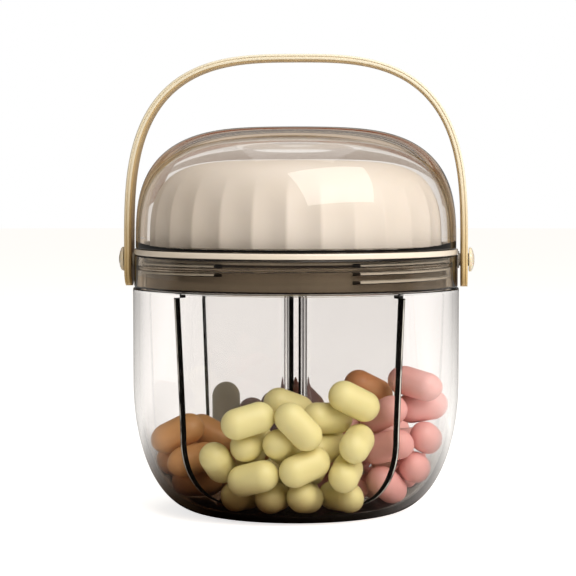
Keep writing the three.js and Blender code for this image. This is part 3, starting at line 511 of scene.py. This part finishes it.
collar_profile = softened([(40.6, skirt_z, 0), (collar_r, skirt_z, 0.35), (collar_r, rebate_z, 0.3),
                           (rebate_r, rebate_z, 0.12), (rebate_r, deck_z, 0.2), (lip_r, deck_z, 0.15),
                           (lip_r, lip_z, 0.25), (lip_inner_r, lip_z, 0.25),
                           (lip_inner_r, deck_z, 0.15), (deck_inner_r, deck_z, 0.25),
                           (deck_inner_r, deck_under_z, 0.25), (skirt_inner_r, deck_under_z, 0.2),
                           (skirt_inner_r, 66.3, 0)])
collar_profile += spaced([(skirt_inner_r, 66.3), (skirt_inner_r, 58.3)], thread_step)[1:]
collar_profile += softened([(skirt_inner_r, 58.3, 0), (skirt_inner_r, skirt_z, 0.2),
                            (40.6, skirt_z, 0)])[1:-1]
collar = lathe("collar_body", collar_profile, 288, collar_radius, 60, closed=True)
smoke = clear_plastic("smoke-tinted acrylic", "AF9C7C", 130.0, 40, 0.06)
smoke.node_tree.nodes["Principled BSDF"].inputs["Base Color"].default_value = linear("E6E0D6")
collar.data.materials.append(smoke)
collar.data.materials.append(painted_edge_tone("smoke acrylic, lower edge on", "1A1512", 0.2))
# Painted shade on the skirt's lower edge and on the step under the ring.
for polygon in collar.data.polygons:
    x, y, z = polygon.center / mm
    if z < 58.25 or (65.8 < z < 66.2 and hypot(x, y) > 40.8):
        polygon.material_index = 1
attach(collar, "collar")
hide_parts("collar")


# Pivot bosses and studs
# Two short round bosses stand out of the collar at the sides. The handle's eyes turn on the
# studs that go on from them, and the end of each stud holds a snap cap.
pivot_z = 64.8
boss_r = 2.2
stud_r = 1.6


def satin_plastic(name, shade, tint, rough, spread=0.12, depth=0.15, grain_mm=1.5, coat=0.0, glow=0.0):
    """Moulded opaque plastic: one colour that drifts towards a tint as the melt flowed, a fine
    satin skin, and where it is asked for a clear coat or a glow of light under the surface."""
    material, tree, out = new_material(name)
    place = add(tree, "ShaderNodeTexCoord").outputs["Object"]
    slow = add(tree, "ShaderNodeTexNoise", Vector=place, Scale=1 / (14 * mm), Detail=2.0)
    fine = add(tree, "ShaderNodeTexNoise", Vector=place, Scale=1 / (grain_mm * mm), Detail=4.0)
    share = add(tree, "ShaderNodeMapRange", Value=slow.outputs["Fac"], From_Min=0.35, From_Max=0.75,
                To_Min=0.0, To_Max=spread)
    tone = add(tree, "ShaderNodeMixRGB", Fac=share.outputs["Result"], Color1=linear(shade),
               Color2=linear(tint))
    rub = add(tree, "ShaderNodeMapRange", Value=fine.outputs["Fac"], From_Min=0.3, From_Max=0.7,
              To_Min=rough - 0.05, To_Max=rough + 0.07)
    bump = add(tree, "ShaderNodeBump", Strength=depth, Distance=0.04 * mm, Height=fine.outputs["Fac"])
    body = add(tree, "ShaderNodeBsdfPrincipled", Base_Color=tone.outputs[0],
               Roughness=rub.outputs["Result"], Normal=bump.outputs["Normal"], Coat_Weight=coat,
               Coat_Roughness=0.12, Subsurface_Weight=glow, Subsurface_Radius=(1.0, 0.7, 0.4),
               Subsurface_Scale=0.8 * mm)
    tree.links.new(body.outputs[0], out.inputs["Surface"])
    return material


def sideways(made, side):
    """Turns a piece built along Z so that it points out at one side of the pivots' axis."""
    turn = Matrix.Rotation(side * pi / 2, 4, "Y")
    made.data.transform(Matrix.Translation((0, 0, pivot_z * mm)) @ turn)
    return made


boss_profile = softened([(0, 41.75, 0), (boss_r, 41.75, 0.05), (boss_r, 42.05, 0.08),
                         (stud_r, 42.05, 0.05), (stud_r, 44.9, 0.2), (0, 44.9, 0)])
boss_plastic = satin_plastic("pale moulded boss", "CFC6B6", "C8B898", 0.3, depth=0.05)
for side, label in ((-1, "left"), (1, "right")):
    boss = sideways(lathe(f"pivot_stud_{label}", boss_profile, 64), side)
    boss.data.materials.append(boss_plastic)
    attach(boss, "collar")


# Ring in the collar's upper edge
# A narrow polished cream ring pressed into a rebate round the top of the collar. Its lower edge
# is notched over the two pivot bosses.
ring_r = 41.7
ring_inner_r = 40.9
ring_low_z = 66.2
ring_top_z = 67.6
notch_r = 2.35
ring_turns = 360


def ring_low(angle):
    """The ring's lower edge in mm at an angle: straight, with a round notch at each side."""
    across = 41.3 * sin(angle)
    if abs(across) >= notch_r:
        return ring_low_z
    return max(ring_low_z, pivot_z + (notch_r ** 2 - across ** 2) ** 0.5)


section = softened([(41.3, 0, 0), (ring_r, 0, 0.2), (ring_r, 1, 0.35), (ring_inner_r, 1, 0.15),
                    (ring_inner_r, 0, 0.15), (41.3, 0, 0)])[:-1]
slices = []
for k in range(ring_turns):
    angle = 2 * pi * k / ring_turns
    low_z = ring_low(angle)
    slices.append([(r * cos(angle), r * sin(angle), low_z + (ring_top_z - low_z) * share)
                   for r, share in section])
ring = loft("collar_trim_ring", slices, 50, closed=True)
ring.data.materials.append(satin_plastic("polished cream plastic", "F6EADA", "F0DCC0", 0.2, spread=0.2,
                                         depth=0.02, coat=0.6))
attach(ring, "collar")
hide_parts("collar_ring")


# Cover seal
# A soft dark silicone ring round the collar's lip. The clear cover is pushed over it and held by
# it. Satin, and near black where it shows through the cover's foot.
seal = band("cover_seal_ring", 37.98, 39.22, 67.75, lip_z, 0.12)
seal.data.materials.append(soft_rubber("dark satin silicone", "171412", 0.42))
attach(seal, "collar")
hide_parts("cover_seal")


# Cover
# A thick clear cap with a domed crown, pushed over the seal. It is polished inside and out and
# has a faint tea tint that gathers to amber where the wall is looked at edge on.
cover_r = 41.3
cover_inner_r = 39.3
cover_low_z = 67.8
cover_foot_z = 68.4
cover_h = 31.0
cover_inner_h = 28.8
cover_flat_r = 4.5
cover_power = 3.0
outer_wall = superellipse(cover_flat_r, cover_r, cover_low_z, cover_h, cover_power, 64)
outer_wall = [p for p in outer_wall if p[1] > cover_foot_z]
inner_wall = superellipse(cover_flat_r, cover_inner_r, cover_low_z, cover_inner_h, cover_power, 64)
cover_profile = softened([(40.3, cover_low_z, 0), (cover_r, cover_low_z, 0.3),
                          (cover_r, cover_foot_z, 0)])[:-1]
cover_profile += spaced([cover_profile[-1]] + outer_wall[:6], 0.1)[1:] + outer_wall[6:]
cover_profile += [(0, cover_low_z + cover_h), (0, cover_low_z + cover_inner_h)]
cover_profile += [p for p in reversed(inner_wall) if p[1] > cover_foot_z]
cover_profile += softened([(cover_inner_r, cover_foot_z, 0), (cover_inner_r, cover_low_z, 0.3),
                           (40.3, cover_low_z, 0)])[1:-1]
cover = lathe("clear_cover", cover_profile, 288, sharp=60, closed=True)
cover.data.materials.append(clear_plastic("tea-tinted clear acrylic", "E0CBB0", 45.0, 50, 0.05))
cover.data.materials.append(painted_edge_tone("clear acrylic, lower edge on", "120F0D", 0.2))
# The painted shade on the lower edge is taller towards the sides of the outer wall, where it is seen more
# slantwise.
for polygon in cover.data.polygons:
    x, y, z = polygon.center / mm
    rise = 1.2 * abs(x / cover_r) ** 6 if hypot(x, y) > 40.5 else 0
    if z < cover_foot_z + 0.02 + rise:
        polygon.material_index = 1
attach(cover, "cover")
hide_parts("cover")


# Selector dome
# The cream dome turns on the collar to choose a compartment. It is one opaque moulding with
# concave flutes for the fingers that fade out towards a smooth crown, and an oval window.
dome_r = 37.65
dome_inner_r = 35.2
dome_low_z = 67.8
dome_skirt_z = 68.55
dome_h = 22.1
dome_inner_h = 20.2
dome_flat_r = 15
dome_power = 2.95
spigot_r = 36.6
flute_count = 28
flute_depth = 0.8
window_w = 26
window_d = 17
window_y = 23


def dome_radius(r, z, angle):
    """The dome's outside: circular flutes with a fine ridge between each two."""
    if z < 68.549 or r < 15.5 or z > 89.5 or (z < 68.8 and r < 37.0):
        return r
    up = (z - dome_skirt_z) / dome_h
    depth = flute_depth * min(1.0, max(0.0, (0.8 - up) / 0.45))
    return r - depth * sin(pi * ((flute_count * angle / (2 * pi)) % 1.0))


def oval_bar(name, width, depth, y, low, high, turns=96):
    """An upright bar of oval section, in mm."""
    oval = [(width / 2 * cos(2 * pi * k / turns), y + depth / 2 * sin(2 * pi * k / turns))
            for k in reversed(range(turns))]
    return loft(name, [[(x, y, z) for x, y in oval] for z in (low, high)])


def cut_out(target, cutter):
    """Cuts one mesh out of another and removes the cutter."""
    change = target.modifiers.new("cut", "BOOLEAN")
    change.operation, change.object, change.solver = "DIFFERENCE", cutter, "EXACT"
    depsgraph = bpy.context.evaluated_depsgraph_get()
    mesh = bpy.data.meshes.new_from_object(target.evaluated_get(depsgraph))
    old = target.data
    target.modifiers.clear()
    target.data = mesh
    mesh.name = old.name
    bpy.data.meshes.remove(old)
    bpy.data.objects.remove(cutter)
    mesh.set_sharp_from_angle(angle=radians(40))


outer_crown = superellipse(dome_flat_r, dome_r, dome_skirt_z, dome_h, dome_power, 48)
inner_crown = superellipse(dome_flat_r, dome_inner_r, dome_skirt_z, dome_inner_h, dome_power, 40)
dome_profile = softened([(35.9, dome_low_z, 0), (spigot_r, dome_low_z, 0.2),
                         (spigot_r, dome_skirt_z, 0.1), (dome_r, dome_skirt_z, 0.25),
                         (dome_r, 69.3, 0)])[:-1]
dome_profile += [p for p in outer_crown if p[1] > 69.2]
dome_profile += [(r, dome_skirt_z + dome_h) for r in (12, 3, 0)]
dome_profile += [(r, dome_skirt_z + dome_inner_h) for r in (0, 3)]
dome_profile += inner_crown[::-1] + [(dome_inner_r, dome_low_z)]
dome = lathe("fluted_dome", dome_profile, 16 * flute_count, dome_radius, 50, closed=True)
dome.data.materials.append(satin_plastic("cream satin plastic", "F0E8DF", "E2D4C0", 0.42, spread=0.25,
                                         glow=0.05))
cut_out(dome, oval_bar("window_cutter", window_w, window_d, window_y, 80, 95))
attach(dome, "selector")
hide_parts("selector_dome")


# Selector base, shutter and clip
# The base closes the dome from below with one port and a chute to the window. The orange shutter
# turns under the dome's crown to close the window and is held by a white push-on clip. All three
# are plain satin mouldings with their edges just broken.
for name, shade, slot in (
    ("selector_base", "DDCFB8", "cream_base"),
    ("shutter", "E08A4A", "orange_shutter"),
    ("shutter_clip", "F2F0EA", "white_clip"),
):
    node = nodes[name]
    node.data.materials.clear()
    node.data.materials.append(satin_plastic(f"{slot.replace('_', ' ')} plastic", shade, "C8B898", 0.4))
    rounding = node.modifiers.new("rounded edges", "BEVEL")
    rounding.width, rounding.segments = 0.15 * mm, 2
    rounding.limit_method, rounding.angle_limit = "ANGLE", radians(40)


# Handle
# A flexible carrying strap moulded to a high arch. Its rounded feet have eyes that turn on the collar's
# studs. The plastic is beige and satin and turns golden towards the feet, and its inner side is a darker
# copy with painted shade.
strap_x = 44.2
strap_t = 1.85
strap_half_w = 4.2
strap_low_z = 57.9
strap_bend_z = 68
strap_h = 49.4
strap_power = 3.0
# The strap's edge from its outer to its inner side, as (inset in mm, share of half the thickness):
# a rounded rim, a fine groove, a flat band and a chamfer.
edge_shape = [
    (0.75, 1.0), (0.4, 0.96), (0.15, 0.8), (0.02, 0.6), (0.04, 0.44), (0.32, 0.34), (0.3, 0.26),
    (0.04, 0.14), (0.0, 0.05), (0.0, -0.4), (0.06, -0.52), (0.32, -0.66), (0.45, -0.9), (0.75, -1.0),
]


def strap_section(outer, inner):
    """The strap's section between a point of its outer and of its inner side, both (x, z) in mm.
    Near the strap's end it narrows to the round foot."""
    middle = (Vector(outer) + Vector(inner)) / 2
    across = Vector(outer) - Vector(inner)
    thick = across.length / 2
    across.normalize()
    up = middle.y - strap_low_z
    half = strap_half_w
    if up < strap_half_w:
        half = max(0.9, (strap_half_w ** 2 - (strap_half_w - up) ** 2) ** 0.5)
    outline = [(inset - half, share * thick) for inset, share in edge_shape]
    outline += [(half - inset, share * thick) for inset, share in reversed(edge_shape)]
    return [(middle.x + across.x * t, y, middle.y + across.y * t) for y, t in outline]


leg = [((strap_x, strap_low_z + 0.3 * k), (strap_x - strap_t, strap_low_z + 0.3 * k)) for k in range(34)]
arch = list(zip(superellipse(0, strap_x, strap_bend_z, strap_h, strap_power, 80),
                superellipse(0, strap_x, strap_bend_z, strap_h, strap_power, 80, strap_t)))
right_half = leg + arch
left_half = [((-outer[0], outer[1]), (-inner[0], inner[1])) for outer, inner in reversed(right_half[:-1])]
sections = [strap_section(outer, inner) for outer, inner in right_half + left_half]
handle = loft("carry_strap", sections, 35)
for label, shade, tint, golden, coat in (
    ("", "F6ECD4", "EADBB4", "D6B87C", 0.1),
    (", painted shade on inner side", "CDB384", "B89A6A", "9C7A48", 0.0),
):
    material = satin_plastic(f"beige flexible plastic{label}", shade, tint, 0.4, spread=0.2, depth=0.0,
                             grain_mm=3.0, coat=coat)
    tree = material.node_tree
    place = add(tree, "ShaderNodeSeparateXYZ", Vector=add(tree, "ShaderNodeTexCoord").outputs["Object"])
    # The colour blends to gold lower down, by height.
    lowness = add(tree, "ShaderNodeMapRange", {"interpolation_type": "SMOOTHSTEP"},
                  Value=place.outputs["Z"], From_Min=56 * mm, From_Max=92 * mm, To_Min=1.0, To_Max=0.0)
    colour = tree.nodes["Principled BSDF"].inputs["Base Color"]
    towards_gold = add(tree, "ShaderNodeMixRGB", Fac=lowness.outputs["Result"],
                   Color1=colour.links[0].from_socket, Color2=linear(golden))
    tree.links.new(towards_gold.outputs[0], colour)
    handle.data.materials.append(material)
# The faces of the inner side and its two chamfers, by their place round the section, get the darker copy:
# painted shade.
painted_shade_faces = range(len(edge_shape) - 4, len(edge_shape) + 3)
for polygon in handle.data.polygons:
    if polygon.index % (2 * len(edge_shape)) in painted_shade_faces:
        polygon.material_index = 1
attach(handle, "handle")
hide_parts("handle")


# Pivot caps
# Small domed buttons of cream plastic, polished and part clear, snapped over the ends of the studs
# to keep the handle on.
cap_r = 3.1
cap_socket_r = 1.85
cap_profile = softened([(cap_socket_r, 44.5, 0), (cap_r, 44.5, 0.2), (cap_r, 45.15, 0.35),
                        (2.35, 45.55, 0.3), (0.8, 45.95, 0.4), (0, 45.95, 0)])
cap_profile += [(0, 45.25), (1.6, 45.25), (cap_socket_r, 45.1)]
cap_plastic = satin_plastic("cream part-clear cap", "E8DCC4", "C8B088", 0.2, spread=0.3, depth=0.03,
                            coat=0.5, glow=0.3)
for side, label in ((-1, "left"), (1, "right")):
    cap = sideways(lathe(f"pivot_button_{label}", cap_profile, 64, sharp=50, closed=True), side)
    cap.data.materials.append(cap_plastic)
    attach(cap, "collar")
    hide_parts(f"pivot_cap_{label}")


# Caplets
# Film-coated oblong tablets, one colour in each compartment, poured in loosely. The coat is satin, a
# little deeper in places and with the fine pitting of a pressed core under it.
caplet_l = 13.4
caplet_w = 7.8
caplet_t = 7.3
caplet_rings = 40
caplet_sides = 40
# The heaps' colours, and those of two tablets that fell among others: one olive, one orange.
heaps = {
    "yellow": ("EFE4A4", "D9C278"), "pink": ("F0B2AC", "DA8E86"), "maroon": ("7E4E46", "5A332E"),
    "amber": ("E0A66C", "B87A48"),
}
strays = {
    "caplet_maroon_01": ("olive", "BCB290", "988E6E"),
    "caplet_pink_03": ("orange", "D9925E", "B87444"),
}


def film_coat(colour, shade, deep):
    """A tablet's coloured film: satin, deeper in places, and lightly pitted by the core."""
    return satin_plastic(f"{colour} film coat", shade, deep, 0.46, spread=0.3, depth=0.1, grain_mm=0.9,
                         coat=0.06, glow=0.1)


def caplet_turn(node):
    """Where a caplet lies: its middle, and the turn to its wide, long and thin directions."""
    points = [v.co.copy() for v in node.data.vertices]
    middle = sum(points, Vector()) / len(points)
    cloud = numpy.array([(p - middle)[:] for p in points])
    axes = numpy.linalg.eigh(cloud.T @ cloud)[1]
    thin, wide, long = (Vector(axes[:, k]) for k in (0, 1, 2))
    if thin.cross(wide).dot(long) < 0:
        thin = -thin
    return middle, Matrix((wide, long, thin)).transposed()


def caplet_shape():
    """The pressed shape in mm: a rounded oblong with domed faces and a narrow flat band round it."""
    verts, faces = [], []
    straight = (caplet_l - caplet_w) / 2
    for i in range(caplet_rings + 1):
        y = -cos(pi * i / caplet_rings) * caplet_l / 2
        over = max(0.0, abs(y) - straight) / (caplet_w / 2)
        scale = max(0.0, 1 - over ** 2) ** 0.5
        for k in range(caplet_sides):
            angle = 2 * pi * k / caplet_sides
            wide = max(-0.975, min(0.975, cos(angle)))
            verts.append((caplet_w / 2 * scale * wide, y, caplet_t / 2 * scale * sin(angle)))
    for i in range(caplet_rings):
        here, there = i * caplet_sides, (i + 1) * caplet_sides
        for k in range(caplet_sides):
            n = (k + 1) % caplet_sides
            faces.append((here + k, there + k, there + n, here + n))
    return verts, faces


caplet_verts, caplet_faces = caplet_shape()
for heap, (shade, deep) in heaps.items():
    film = film_coat(heap, shade, deep)
    for name in sorted(n for n in nodes if n.startswith(f"caplet_{heap}_")):
        middle, turn = caplet_turn(nodes[name])
        verts = [(middle + turn @ (Vector(v) * mm))[:] for v in caplet_verts]
        pill = obj_from(f"pill_{name[7:]}", verts, caplet_faces, 60)
        pill.data.materials.append(film_coat(*strays[name]) if name in strays else film)
        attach(pill, "jar")
        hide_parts(name)
    bed = nodes[f"caplets_{heap}_bed"]
    bed.data.materials.clear()
    bed.data.materials.append(film)
    even = bed.modifiers.new("even mesh", "REMESH")
    even.mode, even.voxel_size, even.use_smooth_shade = "VOXEL", 0.45 * mm, True
    soft = bed.modifiers.new("rounded", "SMOOTH")
    soft.factor, soft.iterations = 0.5, 12


# Camera
# It stands in front, a little to the right and about as high as the dome's crown, and looks
# slightly down.
scene = bpy.context.scene
scene.view_settings.view_transform = "Standard"
scene.cycles.max_bounces = 24
scene.cycles.transmission_bounces = 24
scene.cycles.transparent_max_bounces = 24
scene.cycles.glossy_bounces = 8
camera_away = 0.57
camera_height = 0.0867
camera_azimuth = radians(3.4)
camera_tilt = 0.0515
camera_turn = 0.0036
camera_data = bpy.data.cameras.new("camera")
camera_data.lens, camera_data.sensor_width = 138.0, 36.0
camera = bpy.data.objects.new("camera", camera_data)
camera.location = (camera_away * sin(camera_azimuth), -camera_away * cos(camera_azimuth), camera_height)
camera.rotation_euler = (pi / 2 - camera_tilt, 0, camera_azimuth + camera_turn)
scene.collection.objects.link(camera)
scene.camera = camera


# Floor
# A pale floor that is white to the camera and keeps the bottle's shadow. Light that comes straight
# through the clear plastic finds it white further off and dark under the bottle, where a shadow is
# painted into its glow round a middle set to the left, away from the lamp. To light that was mirrored
# once on its way it is dark in front and beside the bottle, as if a dark cloth lay there, so that no haze
# lies over the clear walls, and pale behind, which keeps their edges light.
floor_seen = 0.75
floor_through = 1.17
floor_mirrored = 0.42
floor = lathe("floor", [(0, -0.02), (3000, -0.02)], 64)
material, tree, out = new_material("pale floor")
path = add(tree, "ShaderNodeLightPath")
mirrored = add(tree, "ShaderNodeMath", {"operation": "GREATER_THAN"}, in0=path.outputs["Glossy Depth"],
               in1=0.5)
unmirrored = add(tree, "ShaderNodeMath", {"operation": "LESS_THAN"}, in0=path.outputs["Glossy Depth"],
                 in1=0.5)
straight = add(tree, "ShaderNodeMath", {"operation": "MULTIPLY"}, in0=path.outputs["Is Transmission Ray"],
               in1=unmirrored.outputs[0])
place = add(tree, "ShaderNodeTexCoord").outputs["Object"]
depth = add(tree, "ShaderNodeSeparateXYZ", Vector=place).outputs["Y"]
ahead = add(tree, "ShaderNodeMapRange", Value=depth, From_Min=-0.02, From_Max=0.1, To_Min=1.0,
            To_Max=0.0)
cloth = add(tree, "ShaderNodeMath", {"operation": "MULTIPLY"}, in0=mirrored.outputs[0],
            in1=ahead.outputs["Result"])
subdued = add(tree, "ShaderNodeMath", {"operation": "MAXIMUM"}, in0=cloth.outputs[0],
              in1=straight.outputs[0])
own = add(tree, "ShaderNodeMixRGB", Fac=subdued.outputs[0], Color1=linear("F6F5F3"),
          Color2=linear("34312E"))
body = add(tree, "ShaderNodeBsdfDiffuse", Color=own.outputs[0])
# A painted shadow: the glow that straight light finds fades out near the bottle, round a middle set to
# the left.
painted_shadow_middle = add(tree, "ShaderNodeVectorMath", {"operation": "ADD"}, in0=place, in1=(0.03, 0, 0))
distance = add(tree, "ShaderNodeVectorMath", {"operation": "LENGTH"}, in0=painted_shadow_middle.outputs["Vector"])
painted_shadow_ramp = add(tree, "ShaderNodeValToRGB", Fac=distance.outputs["Value"])
set_stops(painted_shadow_ramp.color_ramp, [(at, (level, level, level, 1)) for at, level in (
    (0.06, 0.0), (0.14, 0.98), (0.5, 1.0), (0.9, 1.0),
)])
glow_past_painted_shadow = add(tree, "ShaderNodeMath", {"operation": "MULTIPLY"}, in0=straight.outputs[0],
            in1=painted_shadow_ramp.outputs["Color"])
turned = add(tree, "ShaderNodeMath", {"operation": "SUBTRACT", "use_clamp": True},
             in0=path.outputs["Is Transmission Ray"], in1=straight.outputs[0])
behind = add(tree, "ShaderNodeMath", {"operation": "SUBTRACT", "use_clamp": True}, in0=turned.outputs[0],
             in1=ahead.outputs["Result"])
through = add(tree, "ShaderNodeMath", {"operation": "MULTIPLY_ADD"}, in0=behind.outputs[0],
              in1=floor_mirrored, in2=glow_past_painted_shadow.outputs[0])
lit = add(tree, "ShaderNodeMath", {"operation": "MULTIPLY"}, in0=through.outputs[0], in1=floor_through)
strength = add(tree, "ShaderNodeMath", {"operation": "MULTIPLY_ADD"}, in0=path.outputs["Is Camera Ray"],
               in1=floor_seen, in2=lit.outputs[0])
colour = add(tree, "ShaderNodeMixRGB", Fac=path.outputs["Is Camera Ray"], Color1=linear("FFFAF6"),
             Color2=(1, 1, 1, 1))
light = add(tree, "ShaderNodeEmission", Color=colour.outputs[0], Strength=strength.outputs[0])
shown = add(tree, "ShaderNodeAddShader", in0=body.outputs[0], in1=light.outputs[0])
tree.links.new(shown.outputs[0], out.inputs["Surface"])
material.cycles.emission_sampling = "NONE"
floor.data.materials.append(material)


# Cards
# Flat cards behind the set, out of the camera's sight: two brown ones that warm what the side
# walls refract, and thin strips that give the cover's crown its fine lines.

def face_towards(made, place, aim):
    """Puts a card or a lamp in its place and turns its face to a point."""
    made.location = place
    made.rotation_euler = (Vector(aim) - Vector(place)).to_track_quat("-Z", "Y").to_euler()


def card(name, place, aim, size, shade):
    """A card that only reflection and refraction show."""
    half_w, half_h = size[0] / 2, size[1] / 2
    made = obj_from(name, [(-half_w, -half_h, 0), (half_w, -half_h, 0), (half_w, half_h, 0),
                           (-half_w, half_h, 0)], [(0, 1, 2, 3)])
    face_towards(made, place, aim)
    material, tree, out = new_material(name)
    face = add(tree, "ShaderNodeEmission", Color=linear(shade), Strength=1.0)
    tree.links.new(face.outputs[0], out.inputs["Surface"])
    material.cycles.emission_sampling = "NONE"
    made.data.materials.append(material)
    made.visible_camera = False
    made.visible_diffuse = False
    made.visible_shadow = False


for side in (-1, 1):
    card(f"brown flag {side}", (side * 0.205, 0.4, 0.155), (side * 0.205, 0, 0.155), (0.13, 0.1),
         "7A5434")
for height, tall, shade in (
    (0.168, 0.018, "9C8C80"), (0.202, 0.03, "843C08"), (0.24, 0.014, "B8A898"),
    (0.258, 0.01, "3A3028"), (0.27, 0.01, "6C7686"), (0.288, 0.012, "2E241C"),
    (0.301, 0.008, "4E5A6A"), (0.311, 0.007, "F2E8D6"), (0.321, 0.009, "2C241C"),
    (0.336, 0.012, "A89A8C"),
):
    card(f"crown flag {height}", (0, 0.42, height), (0, 0, height), (0.5, tall), shade)


# Lamps and surroundings
# A large softbox at the right in front, whose mirror image lies on the dome, a smaller one at the
# right and one above. The pale surroundings fill the shade softly and a little warmly.

def lamp(name, place, aim, size, watts, shade, in_gloss=True):
    """A rectangular softbox. Seen through clear plastic it would be a hard white shape, so it is
    hidden there."""
    data = bpy.data.lights.new(name, "AREA")
    data.shape, data.size, data.size_y = "RECTANGLE", size[0], size[1]
    data.energy, data.color = watts, linear(shade)[:3]
    made = bpy.data.objects.new(name, data)
    face_towards(made, place, aim)
    made.visible_transmission = False
    made.visible_glossy = in_gloss
    scene.collection.objects.link(made)


lamp("softbox right", (0.275, -0.375, 0.47), (0, 0, 0.08), (0.56, 0.48), 3.2, "FFFCF8")
lamp("reflector right", (0.55, -0.12, 0.2), (0, 0, 0.07), (0.2, 0.4), 0.7, "FFFCF8", in_gloss=False)
lamp("softbox top", (0.0, 0.1, 0.75), (0, 0, 0.05), (0.5, 0.5), 1.2, "FFFFFF")

world = bpy.data.worlds.new("studio")
scene.world = world
world.use_nodes = True
tree = world.node_tree
tree.nodes.clear()
path = add(tree, "ShaderNodeLightPath")
mirrored = add(tree, "ShaderNodeMath", {"operation": "GREATER_THAN"}, in0=path.outputs["Glossy Depth"],
               in1=0.5)
seen = add(tree, "ShaderNodeMath", {"operation": "MAXIMUM"}, in0=path.outputs["Is Camera Ray"],
           in1=path.outputs["Is Transmission Ray"])
fill = add(tree, "ShaderNodeBackground", Color=linear("F4EADA"), Strength=0.3)
white = add(tree, "ShaderNodeBackground", Color=(1, 1, 1, 1), Strength=1.0)
straight = add(tree, "ShaderNodeMixShader", in0=seen.outputs[0], in1=fill.outputs[0],
               in2=white.outputs[0])
# Light that was mirrored on its way sees dimmer surroundings, as in a studio with dark walls.
in_gloss = add(tree, "ShaderNodeBackground", Color=linear("F4F2F0"), Strength=0.15)
in_walls = add(tree, "ShaderNodeBackground", Color=linear("F2E2D0"), Strength=0.78)
dimmed = add(tree, "ShaderNodeMixShader", in0=path.outputs["Is Transmission Ray"],
             in1=in_gloss.outputs[0], in2=in_walls.outputs[0])
both = add(tree, "ShaderNodeMixShader", in0=mirrored.outputs[0], in1=straight.outputs[0],
           in2=dimmed.outputs[0])
out = tree.nodes.new("ShaderNodeOutputWorld")
tree.links.new(both.outputs[0], out.inputs["Surface"])
